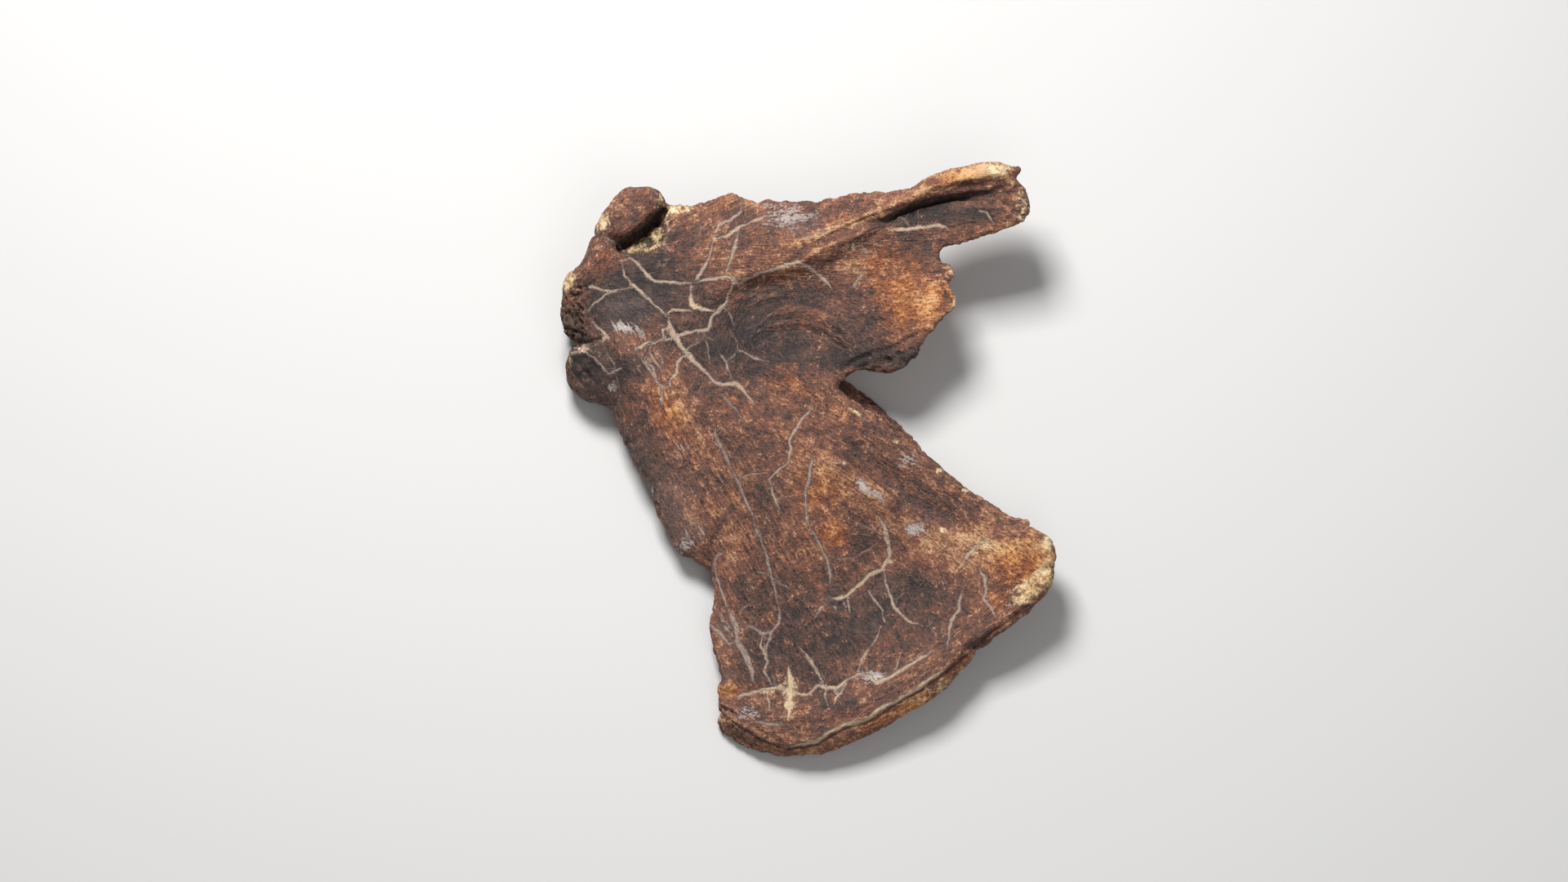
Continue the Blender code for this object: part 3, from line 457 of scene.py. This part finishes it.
def evened(values, edges, rounds):
    """Smoothed values: each becomes the mean of itself and its neighbours, again and again."""
    for _ in range(rounds):
        values = (values + beside(values, edges)) / 2
    return values


def without_facets(points, edges):
    """Points smoothed in pairs of steps, in and back out, so that the form doesn't shrink."""
    for _ in range(EVENING_ROUNDS):
        points = points + EVENING_IN * (beside(points, edges) - points)
        points = points - EVENING_OUT * (beside(points, edges) - points)
    return points


def path_distance(plan, path):
    """Each plan point's distance to a path, given as x, y, x, y and so on, and its side: over 0 is right."""
    path = np.array(path, float).reshape(-1, 2)
    best = np.full(len(plan), np.inf)
    side = np.zeros(len(plan))
    for a, b in zip(path, path[1:]):
        along = b - a
        t = np.clip((plan - a) @ along / (along @ along), 0, 1)
        away = plan - a - t[:, None] * along
        distance = np.hypot(away[:, 0], away[:, 1])
        closer = distance < best
        best[closer] = distance[closer]
        side[closer] = (along[0] * away[:, 1] - along[1] * away[:, 0])[closer]
    return best, side


def patches(plan, places):
    """The sum of soft oval patches, each in the form of the stains."""
    total = np.zeros(len(plan))
    for x, y, across, down, strength, *turn in places:
        turned = math.radians(sum(turn))
        cos, sin = math.cos(turned), math.sin(turned)
        away = plan - (x, y)
        u = (away[:, 0] * cos + away[:, 1] * sin) / across
        v = (away[:, 1] * cos - away[:, 0] * sin) / down
        total += strength * np.exp(-(u * u + v * v))
    return total


def lumpy(places, size, seed, octaves=2):
    """Smooth seeded noise between about -1 and 1, with lumps of the given size, both in mm."""
    shift = Vector([seed * step for step in SEED_STEPS])
    return np.array([noise.fractal(Vector(p) / size + shift, *FRACTAL, octaves) for p in places])


def smooth_step(values, low, high):
    share = np.clip((values - low) / (high - low), 0, 1)
    return share * share * (3 - 2 * share)


def bundle_shares(plan):
    """For each way that streaks are drawn, how much of it each plan point shows."""
    away = plan - FIBRE_POLE
    doubled = 2 * np.arctan2(away[:, 1], away[:, 0])
    run = FIBRE_POLE_PULL * np.stack((np.cos(doubled), np.sin(doubled)), axis=1)
    for x, y, reach, degrees in FIBRE_TURNS:
        near = np.exp(-((plan - (x, y)) ** 2).sum(axis=1) / reach ** 2)
        doubled = math.radians(2 * degrees)
        run += near[:, None] * (math.cos(doubled), math.sin(doubled))
    degrees = np.degrees(np.arctan2(run[:, 1], run[:, 0])) / 2 % 180
    shares = {}
    for bundle in BUNDLES:
        apart = np.abs((degrees - bundle + 90) % 180 - 90)
        shares[bundle] = np.clip(1 - apart / BUNDLE_STEP, 0, 1)
    return shares


def streaky(points, shares, size, seed):
    """Seeded noise drawn out along the fibres, of streaks of the given width in mm."""
    total = np.zeros(len(points))
    stretch = np.array((STREAK_STRETCH, 1, 1))
    for bundle, share in shares.items():
        shown = share > LEAST_SHARE
        along = np.array(Matrix.Rotation(-math.radians(bundle), 3, "Z"))
        place = (points[shown] / MM) @ along / stretch
        total[shown] += share[shown] * lumpy(place, size, seed + bundle)
    return total


def relief_heights(plan):
    """The sharper grooves and ridges, in mm."""
    total = np.zeros(len(plan))
    for height, left_reach, right_reach, *path in SHARP_RELIEF:
        distance, side = path_distance(plan, path)
        reach = np.where(side > 0, right_reach, left_reach)
        total += height * np.exp(-((distance / reach) ** 2))
    return total


def remade(mesh, kind, points=None, **settings):
    """A new mesh: the given one with one modifier applied, to all its points or the given ones."""
    obj = bpy.data.objects.new(mesh.name, mesh)
    bpy.context.scene.collection.objects.link(obj)
    change = obj.modifiers.new(kind, kind)
    for name, value in settings.items():
        setattr(change, name, value)
    if points is not None:
        change.vertex_group = obj.vertex_groups.new(name="changed").name
        obj.vertex_groups["changed"].add(points.tolist(), 1.0, "REPLACE")
    graph = bpy.context.evaluated_depsgraph_get()
    made = bpy.data.meshes.new_from_object(obj.evaluated_get(graph))
    made.name = mesh.name
    bpy.data.objects.remove(obj)
    bpy.data.meshes.remove(mesh)
    return made


def to_plan_space():
    return (Matrix.Translation(PLAN_CENTRE_AT) @ rest_turn().to_4x4()).inverted()


def with_splinter(mesh):
    """Adds the splinter, which the remeshing then joins to the bone."""
    (x, y, height), size, degrees = SPLINTER
    middle = ((x - PLAN_CENTRE[0]) * PLAN_POINT, (PLAN_CENTRE[1] - y) * PLAN_POINT, height * MM)
    turn = Matrix.Rotation(math.radians(degrees), 4, "Z")
    build = bmesh.new()
    build.from_mesh(mesh)
    bmesh.ops.create_cube(build, size=PLAN_POINT,
                          matrix=Matrix.Translation(middle) @ turn @ Matrix.Diagonal((*size, 1)))
    build.to_mesh(mesh)
    build.free()


def worn_soft(points, edges):
    """Points with the CAD solid's edges worn soft in places."""
    soft = np.clip(patches(as_plan(points), WORN_SOFT), 0, 1)[:, None]
    worn = points
    for _ in range(WEARING_ROUNDS):
        worn = beside(worn, edges)
    return points + soft * (evened(worn, edges, WORN_EVENING) - points)


def flatten_knob(points, plan, on_rib_side):
    """Lowers what stands above the coracoid knob's worn top."""
    knob = np.exp(-(((plan - KNOB_TOP) ** 2).sum(axis=1) / KNOB_REACH ** 2) ** 2) * on_rib_side
    above = np.maximum(points[:, 2] / MM - KNOB_HEIGHT, 0)
    points[:, 2] -= knob * above * (1 - KNOB_LEFT_OVER) * MM


def old_bone_relief(points, plan, facing, on_rib_side):
    """How far the grooves, ridges, pits and crags push each point outwards, in mm."""
    steep = 1 - smooth_step(np.abs(facing), *FLAT_IN_RELIEF)
    raw = patches(plan, RAW_BONE) + CRUST_IS_RAW * patches(plan, CREAM_CRUST) + patches(plan, PIT_MATRIX)
    raw = np.clip(raw, 0, 1)
    place = points / MM
    push = on_rib_side * relief_heights(plan)
    push += SWELLING * lumpy(place, *SWELLING_LUMPS)
    push += DIMPLES * lumpy(place, *DIMPLE_LUMPS)
    push += FIBRE_RIDGES * streaky(points, bundle_shares(plan), *FIBRE_LUMPS) * (1 - steep)
    depth = PITS + PITS_ON_RIMS * steep + PITS_IN_RAW_BONE * raw
    push += depth * np.minimum(lumpy(place, *PIT_LUMPS), PIT_CAP)
    push += RIM_BUMPS * steep * np.minimum(lumpy(place, *RIM_LUMPS), RIM_CAP)
    broken = np.clip(patches(plan, CRAGS), 0, 1)
    push -= CRAG_DEPTH * broken * smooth_step(lumpy(place, *CRAG_LUMPS), *CRAG_STEP)
    return push


def skin_mesh(node):
    """The CAD solid remeshed finely, smoothed and given the relief of old bone, all in the plan's space."""
    mesh = node.data.copy()
    mesh.name = "scapula skin"
    mesh.transform(to_plan_space())
    with_splinter(mesh)
    mesh = remade(mesh, "REMESH", mode="VOXEL", voxel_size=SKIN_CELL)
    edges = read_edges(mesh)
    points = worn_soft(without_facets(read_points(mesh), edges), edges)
    write_points(mesh, points)
    normals = evened(read_normals(mesh), edges, NORMAL_ROUNDS)
    plan = as_plan(points)
    facing = normals[:, 2]
    on_rib_side = smooth_step(facing, *RIB_SIDE_IN_RELIEF)
    flatten_knob(points, plan, on_rib_side)
    push = old_bone_relief(points, plan, facing, on_rib_side)
    write_points(mesh, points + push[:, None] * normals * MM)
    mesh = remade(mesh, "DECIMATE", points=np.nonzero(facing < RIB_SIDE_FACES)[0],
                  ratio=SKIN_TRIANGLES / (2 * len(mesh.polygons)), vertex_group_factor=1.0)
    mesh.polygons.foreach_set("use_smooth", [True] * len(mesh.polygons))
    return mesh


def laid_down(mesh):
    """Turns the skin to the way that the bone lies, and keeps it inside the CAD model's box."""
    mesh.transform(to_plan_space().inverted())
    lowest = np.array(cad_low) + (TUCKED_IN, TUCKED_IN, 0)
    write_points(mesh, np.clip(read_points(mesh), lowest, np.array(cad_high) - TUCKED_IN))


# What the skin tells its material, point by point

def keep(mesh, name, values):
    """Stores a number for each point of the mesh."""
    layer = mesh.attributes.new(name, "FLOAT", "POINT")
    layer.data.foreach_set("value", values.astype(np.float32))


def cracks_and_pools(plan):
    """Each filled crack and pool: how far each point is from its middle, the same with its side, where right
    of a crack is over 0, half its width there, all in mm, and its tint."""
    for width, shade, *path in FILLED_CRACKS:
        distance, side = path_distance(plan, path)
        from_end = np.minimum(*(np.hypot(*(plan - end).T) for end in (path[:2], path[-2:])))
        left_open = CRACK_END + (1 - CRACK_END) * smooth_step(from_end, 0, CRACK_TAPER)
        distance = distance * PLAN_POINT / MM
        yield distance, distance * np.sign(side), width * CRACK_OPEN * left_open * PLAN_POINT / MM, shade
    for x, y, radius, shade in FILL_POOLS:
        distance = np.hypot(plan[:, 0] - x, plan[:, 1] - y) * PLAN_POINT / MM
        yield distance, distance, radius * POOL_OPEN * PLAN_POINT / MM, shade


def find_cracks(plan):
    """For the nearest filled crack or pool: how far each point is outside it, how far it is to the right of
    the crack's middle line, half the crack's width, all in mm, and the fill's tint."""
    gap = np.full(len(plan), FAR_FROM_CRACKS)
    across = np.full(len(plan), FAR_FROM_CRACKS)
    half = np.zeros(len(plan))
    tint = np.zeros(len(plan))
    for distance, off_middle, open_by, shade in cracks_and_pools(plan):
        nearer = distance - open_by < gap
        across = np.where(nearer, off_middle, across)
        half = np.where(nearer, open_by, half)
        tint = np.where(nearer, shade, tint)
        gap = np.minimum(gap, distance - open_by)
    return gap, across, half, tint


def standing_out(points, edges, normals, rounds):
    """How far each point stands above its surroundings, in units of what is usual on this skin."""
    above = np.einsum("ij,ij->i", points - evened(points, edges, rounds), normals)
    return np.clip(above / above.std(), -CREST_LIMIT, CREST_LIMIT)


def mark_skin(mesh):
    """Where the cracks, stains, crusts and hollows are. The stains are partly painted shade and light, and
    the hollows and crests are kept for painted shade.
    """
    points, edges, normals = read_points(mesh), read_edges(mesh), read_normals(mesh)
    plan = as_plan(points)
    facing = evened(normals, edges, MARK_ROUNDS)[:, 2]
    rib_side = smooth_step(facing, *RIB_SIDE_IN_MARKS)
    steep = 1 - smooth_step(np.abs(facing), *FLAT_IN_MARKS)
    place = points / MM
    wander = np.stack([lumpy(place, *lumps) for lumps in CRACK_WANDER_LUMPS], axis=1)
    gap, across, half, tint = find_cracks(plan + CRACK_WANDER * wander)
    keep(mesh, "crack gap", np.where(rib_side > 0.5, gap, FAR_FROM_CRACKS))
    keep(mesh, "crack across", across)
    keep(mesh, "crack half", half + CRACK_NARROWING * lumpy(place, *CRACK_NARROWING_LUMPS))
    keep(mesh, "fill tint", evened(tint[:, None], edges, TINT_ROUNDS)[:, 0])
    keep(mesh, "rust", rib_side * patches(plan, RUST) + RUST_BEHIND * (1 - rib_side))
    keep(mesh, "raw bone", np.clip(patches(plan, RAW_BONE) + RIMS_ARE_RAW * steep, 0, RAWEST))
    for name, places in (("stain and painted shading", STAINS_AND_PAINTED_SHADING), ("cream crust", CREAM_CRUST), ("chalk", CHALK),
                         ("grey dust", GREY_DUST), ("pit matrix", PIT_MATRIX)):
        keep(mesh, name, rib_side * patches(plan, places))
    keep(mesh, "outer side", 1 - rib_side)
    # How far each point stands above or below its surroundings, which the tone turns into painted shade
    keep(mesh, "broad crest shade", standing_out(points, edges, normals, BROAD_CREST_ROUNDS))
    keep(mesh, "fine crest shade and wear", standing_out(points, edges, normals, FINE_CREST_ROUNDS))
    for bundle, share in bundle_shares(plan).items():
        keep(mesh, f"fibres at {bundle}", share)


# Finishes

MIX_SHARE, MIX_FIRST, MIX_SECOND, MIX_RESULT = 0, 6, 7, 2  # the colour sockets of a Mix node


def add(tree, kind, sockets=None, stops=None, **settings):
    """Adds a node with its settings, its ramp's stops, and each socket's value or the output it takes."""
    node = tree.nodes.new(kind)
    for name, value in settings.items():
        setattr(node, name, value)
    for name, value in (sockets or {}).items():
        if isinstance(value, bpy.types.NodeSocket):
            tree.links.new(value, node.inputs[name])
        else:
            node.inputs[name].default_value = value
    if stops:
        ramp = node.color_ramp
        while len(ramp.elements) < len(stops):
            ramp.elements.new(0.5)
        for element, (position, code) in zip(ramp.elements, stops):
            element.position = position
            element.color = hex_colour(code)
    return node


# What the skin's points say, and the grains of the bone: (name, size in mm, detail, roughness, seed)
SKIN_MARKS = ("crack gap", "crack across", "crack half", "fill tint", "stain and painted shading", "rust", "cream crust",
              "chalk", "grey dust", "raw bone", "pit matrix", "outer side", "broad crest shade", "fine crest shade and wear")
GRAINS = (
    ("cloud", 30, 3, 0.60, 3),
    ("patch", 14, 4, 0.60, 7),
    ("mottle", 7, 4, 0.65, 4),
    ("speck", 2.1, 3, 0.70, 5),
    ("dot", 1.1, 1, 0.50, 6),
)
HAIRLINE_CELL = 24  # mm between the fine unfilled cracks
HAIRLINE_WARP = 0.010  # metres that they wander
HAIRLINE_WARP_SIZE = 30  # mm
HAIRLINE_WARP_DETAIL = 2
STREAKS = (("streak", 2.2, 3, 0.62, 1), ("fine streak", 1.1, 1, 0.62, 2))
CRACK_SLACK = 0.9  # mm, how much a crack's coarse distance may be under its fine one

# What makes the edge of a filled crack ragged
RAGGED_START = -4.15
RAGGED_EDGE = (("off crack", 1), ("speck", 3.2), ("dot", 1.6), ("patch", 3.5))

# Where each look shows: (name, start, (part, share) pairs that are added to it, low, high, the look's share
# at the low, its share at the high), so that it goes from one share to the other as the sum rises
SHOWING = (
    # The crests' share in the tone is painted shade: darker in hollows, lighter on crests
    ("tone", -1.64, (("stain and painted shading", 1), ("cloud", 0.9), ("mottle", 1.0), ("streak", 0.7), ("fine streak", 0.6),
                     ("speck", 0.62), ("dot", 0.35), ("broad crest shade", 0.035), ("fine crest shade and wear", 0.05)),
     -1.0, 2.0, -0.73, 1.73),
    ("whole", 1, (), 0, 1, 0, 1),
    ("rusty", 0, (("rust", 1), ("cloud", 0.6), ("mottle", 0.5)), 0.7, 1.3, 0, 0.85),
    ("leached", 0, (("patch", 1),), 0.47, 0.66, 0, 0.35),
    ("worn", 0, (("stain and painted shading", 0.25), ("speck", 0.7), ("streak", 0.5), ("dot", 0.3), ("mottle", 0.8),
                  ("fine crest shade and wear", 0.03)), 1.22, 1.39, 0, 0.60),
    ("pitted", 0, (("dot", 1), ("fine streak", 0.6)), 0.57, 0.68, 0.5, 0),
    ("dusty", 0, (("grey dust", 0.5), ("patch", 0.9)), 0.5, 1.0, 0, 0.5),
    ("bare", 0, (("raw bone", 1), ("mottle", 0.6)), 0.75, 1.25, 0, 1),
    ("chalky", 0, (("chalk", 0.80), ("speck", 0.6), ("dot", 0.3), ("streak", 1.6)), 1.54, 1.68, 0, 0.90),
    ("chalk shade", -0.02, (("chalk", 0.50), ("dot", 0.4)), 0, 1, 0, 1),
    ("crusted", 0, (("cream crust", 0.5), ("speck", 0.5), ("mottle", 0.6)), 0.70, 1.0, 0, 1),
    ("crust shade", 0, (("mottle", 0.7), ("speck", 0.3)), 0, 1, 0, 1),
    ("in the pit", 0, (("pit matrix", 1),), 0.3, 0.7, 0, 1),
    ("hairline", 0, (("off hairline", HAIRLINE_CELL), ("speck", 2.0), ("patch", 3.0), ("cloud", 5.0),
                      ("outer side", -0.5)), 4.2, 4.8, 0.34, 0),
    # Painted shade: a dark band just outside each filled crack's fill, where its edge sinks as a narrow gap
    ("shaded crack edge", RAGGED_START, RAGGED_EDGE, 0.3, 1.0, 0.35, 0),
    ("fill", RAGGED_START, RAGGED_EDGE, -0.6, 0.8, 0.82, 0),
    ("fill core", RAGGED_START, RAGGED_EDGE, -1.0, -0.2, 1, 0),
    ("fill shade", -0.36, (("fill tint", 0.44), ("fill core", 0.26), ("speck", 0.9)), 0, 1, 0, 1),
    ("dullness", 0, (("tone", 1),), 0.1, 0.9, 0.60, 0.86),
)
# The coats of colour from the bone outwards: (where it shows, what shades it, that shade's colours)
COATS = (
    ("whole", "tone", ((0.0, "2a201d"), (0.18, "433029"), (0.36, "5c3d32"), (0.50, "734939"),
                       (0.64, "875a43"), (0.80, "a47655"), (0.92, "bf956c"), (1.0, "d3ae84"))),
    ("rusty", "tone", ((0.1, "3a2318"), (0.4, "743f25"), (0.6, "98592f"), (0.8, "bd7f48"), (1.0, "d6a56c"))),
    ("leached", "speck", ((0.35, "4a322a"), (0.65, "6d4c3e"))),
    ("worn", "dot", ((0.3, "95705a"), (0.7, "c9a688"))),
    ("pitted", "dot", ((0.0, "2c2320"), (1.0, "2c2320"))),
    ("dusty", "speck", ((0.3, "4a3c38"), (0.7, "7b6862"))),
    ("bare", "speck", ((0.34, "241b17"), (0.52, "4a372b"), (0.72, "8a6d52"))),
    ("chalky", "chalk shade", ((0.15, "857671"), (0.45, "ab9f99"), (0.8, "ded6cb"))),
    ("crusted", "crust shade", ((0.36, "8a6a48"), (0.46, "bd9b70"), (0.56, "dcc298"), (0.68, "ecdcba"))),
    ("in the pit", "crust shade", ((0.38, "2a221a"), (0.46, "5e4c34"), (0.54, "957c57"), (0.66, "cfb88e"))),
    ("hairline", "speck", ((0.35, "8f7a6b"), (0.65, "b39a80"))),
    # The crack edges' dark colour on the next line is painted shade in their gap
    ("shaded crack edge", "dot", ((0.0, "2a211e"), (1.0, "2a211e"))),
    ("fill", "fill shade", ((0.15, "76625a"), (0.40, "9a867c"), (0.65, "b69a7f"), (0.9, "d8be98"))),
)
# The fine relief of the surface, in mm: (part, share)
SURFACE = (
    ("streak", 1.6), ("fine streak", 0.9), ("speck", 1.3), ("mottle", 1.9), ("dot", 0.45), ("pitted", -0.3),
    ("fill", -0.20), ("shaded crack edge", -0.3), ("bare", 0.3),
)
BONE_IOR = 1.56
BONE_SHINE = 0.35  # where 0.5 is the full gloss of its IOR
CARD_COLOUR = "c9c8c6"
CARD_ROUGHNESS = 0.9
CARD_SHINE = 0.2


def per_metre(size):
    """A pattern scale for object coordinates, from the pattern's size in mm."""
    return 1000 / size


def new_material(name):
    material = bpy.data.materials.new(name)
    material.use_nodes = True
    material.node_tree.nodes.clear()
    return material, material.node_tree


def mineralised_bone():
    """Fossil bone: dense bone turned to stone by iron-rich ground water, worn, and cracked as it dried.

    The iron gives the rust browns, manganese the blackish ones. Where the thin outer film is worn off, the
    paler bone shows as fine specks. It is dull, a little smoother where it is dark and whole. Its colour
    also
    holds painted shade: darker in hollows and along the crack edges, lighter on crests, and in a few stains.
    """
    material, tree = new_material("mineralised bone")
    place = add(tree, "ShaderNodeTexCoord").outputs["Object"]
    look = {}
    for name in SKIN_MARKS:
        look[name] = add(tree, "ShaderNodeAttribute", attribute_name=name).outputs["Fac"]
    for name, size, detail, roughness, seed in GRAINS:
        look[name] = add(tree, "ShaderNodeTexNoise", {
            "Vector": place, "W": seed, "Scale": per_metre(size), "Detail": detail, "Roughness": roughness},
            noise_dimensions="4D").outputs[0]
    for name, size, detail, roughness, seed in STREAKS:
        look[name] = 0.0
        for bundle in BUNDLES:
            turn = rest_turn() @ Matrix.Rotation(-math.radians(bundle), 3, "Z")
            along = add(tree, "ShaderNodeMapping", {
                "Vector": place, "Rotation": turn.to_euler(), "Scale": (STREAK_STRETCH, 1, 1)},
                vector_type="TEXTURE").outputs[0]
            drawn = add(tree, "ShaderNodeTexNoise", {
                "Vector": along, "W": seed + bundle, "Scale": per_metre(size), "Detail": detail,
                "Roughness": roughness}, noise_dimensions="4D").outputs[0]
            shown = add(tree, "ShaderNodeAttribute", attribute_name=f"fibres at {bundle}").outputs["Fac"]
            look[name] = add(tree, "ShaderNodeMath", {0: drawn, 1: shown, 2: look[name]},
                             operation="MULTIPLY_ADD").outputs[0]

    warp = add(tree, "ShaderNodeTexNoise", {
        "Vector": place, "Scale": per_metre(HAIRLINE_WARP_SIZE), "Detail": HAIRLINE_WARP_DETAIL}).outputs[1]
    warped = add(tree, "ShaderNodeVectorMath", {0: warp, 1: (HAIRLINE_WARP,) * 3, 2: place},
                 operation="MULTIPLY_ADD").outputs[0]
    look["off hairline"] = add(tree, "ShaderNodeTexVoronoi", {
        "Vector": warped, "Scale": per_metre(HAIRLINE_CELL)}, feature="DISTANCE_TO_EDGE").outputs["Distance"]

    # How far outside the fill of a crack each spot is, in mm: its middle line is sharp where a crack is near
    off_middle = add(tree, "ShaderNodeMath", {0: look["crack across"]}, operation="ABSOLUTE").outputs[0]
    off_edge = add(tree, "ShaderNodeMath", {0: off_middle, 1: look["crack half"]},
                   operation="SUBTRACT").outputs[0]
    roughly = add(tree, "ShaderNodeMath", {0: look["crack gap"], 1: CRACK_SLACK},
                  operation="SUBTRACT").outputs[0]
    look["off crack"] = add(tree, "ShaderNodeMath", {0: off_edge, 1: roughly},
                            operation="MAXIMUM").outputs[0]

    for name, start, parts, low, high, at_low, at_high in SHOWING:
        total = start
        for part, share in parts:
            total = add(tree, "ShaderNodeMath", {0: look[part], 1: share, 2: total},
                        operation="MULTIPLY_ADD").outputs[0]
        look[name] = add(tree, "ShaderNodeMapRange", {
            "Value": total, "From Min": low, "From Max": high, "To Min": at_low, "To Max": at_high},
            interpolation_type="SMOOTHSTEP").outputs[0]
    colour = hex_colour("000000")
    for name, shading, stops in COATS:
        tint = add(tree, "ShaderNodeValToRGB", {"Fac": look[shading]}, stops=stops).outputs[0]
        colour = add(tree, "ShaderNodeMix", {
            MIX_SHARE: look[name], MIX_FIRST: colour, MIX_SECOND: tint},
            data_type="RGBA").outputs[MIX_RESULT]
    height = 0.0
    for part, share in SURFACE:
        height = add(tree, "ShaderNodeMath", {0: look[part], 1: share, 2: height},
                     operation="MULTIPLY_ADD").outputs[0]
    bump = add(tree, "ShaderNodeBump", {"Height": height, "Strength": 1.0, "Distance": MM})
    shader = add(tree, "ShaderNodeBsdfPrincipled", {
        "Base Color": colour, "Roughness": look["dullness"], "Normal": bump.outputs[0],
        "IOR": BONE_IOR, "Specular IOR Level": BONE_SHINE})
    add(tree, "ShaderNodeOutputMaterial", {"Surface": shader.outputs[0]})
    return material


def matt_card():
    """Thick matt card under the bone: plain and pale, with no gloss."""
    material, tree = new_material("matt card")
    shader = add(tree, "ShaderNodeBsdfPrincipled", {
        "Base Color": hex_colour(CARD_COLOUR), "Roughness": CARD_ROUGHNESS,
        "Specular IOR Level": CARD_SHINE})
    add(tree, "ShaderNodeOutputMaterial", {"Surface": shader.outputs[0]})
    return material


# The studio

FLOOR_HALF_SIDE = 6.0  # metres
LENS = 200  # mm
SENSOR = 36  # mm
CLIP_NEAR = 100  # the camera sees from its distance to the bone over this
CLIP_FAR = 10  # to its distance to the bone times this
SKY = "e6e8ec"
SKY_STRENGTH = 0.25
# The lamps: (name, place in the plan's space and size in metres, power in watts)
LAMPS = (
    ("key light", (-0.4, 1.5, 1.35), 0.7, 62),
    ("fill light", (0.6, -0.6, 2.2), 1.6, 13),
)


def from_plan(x, y, z):
    """A place in the row's frame, of metres in the plan's space: right, up and towards the viewer."""
    return rest_turn() @ Vector((x, y, z)) + Vector(PLAN_CENTRE_AT)


def lay_floor():
    mesh = bpy.data.meshes.new("floor")
    s = FLOOR_HALF_SIDE
    mesh.from_pydata([(-s, -s, 0), (s, -s, 0), (s, s, 0), (-s, s, 0)], [], [(0, 1, 2, 3)])
    mesh.materials.append(matt_card())
    floor = bpy.data.objects.new("floor", mesh)
    bpy.context.scene.collection.objects.link(floor)


def hang_light(name, place, size, power):
    """A soft square lamp at a place in the plan's space, turned to the bone."""
    lamp = bpy.data.lights.new(name, "AREA")
    lamp.size = size
    lamp.energy = power
    holder = bpy.data.objects.new(name, lamp)
    bpy.context.scene.collection.objects.link(holder)
    holder.location = from_plan(*place)
    aim = Vector(PLAN_CENTRE_AT) - holder.location
    holder.rotation_euler = aim.to_track_quat("-Z", "Y").to_euler()


def set_sky():
    world = bpy.data.worlds.new("studio")
    bpy.context.scene.world = world
    world.use_nodes = True
    background = world.node_tree.nodes["Background"]
    background.inputs["Color"].default_value = hex_colour(SKY)
    background.inputs["Strength"].default_value = SKY_STRENGTH


def set_camera():
    """A long lens that looks straight at the plan, and frames it as the reference view does."""
    lens = bpy.data.cameras.new("camera")
    lens.lens = LENS
    lens.sensor_width = SENSOR
    away = PLAN_WIDTH * PLAN_POINT * LENS / SENSOR
    lens.clip_start = away / CLIP_NEAR
    lens.clip_end = away * CLIP_FAR
    camera = bpy.data.objects.new("camera", lens)
    bpy.context.scene.collection.objects.link(camera)
    camera.matrix_world = Matrix.Translation(from_plan(0, 0, away)) @ rest_turn().to_4x4()
    bpy.context.scene.camera = camera


def dress_scapula():
    mesh = skin_mesh(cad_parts["scapula"])
    mark_skin(mesh)
    laid_down(mesh)
    mesh.materials.clear()
    mesh.materials.append(mineralised_bone())
    skin = bpy.data.objects.new("scapula_skin", mesh)
    bpy.context.scene.collection.objects.link(skin)
    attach(skin, "root")
    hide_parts("scapula")


bpy.context.scene.view_settings.view_transform = "Standard"
set_camera()
set_sky()
lay_floor()
for lamp in LAMPS:
    hang_light(*lamp)
dress_scapula()
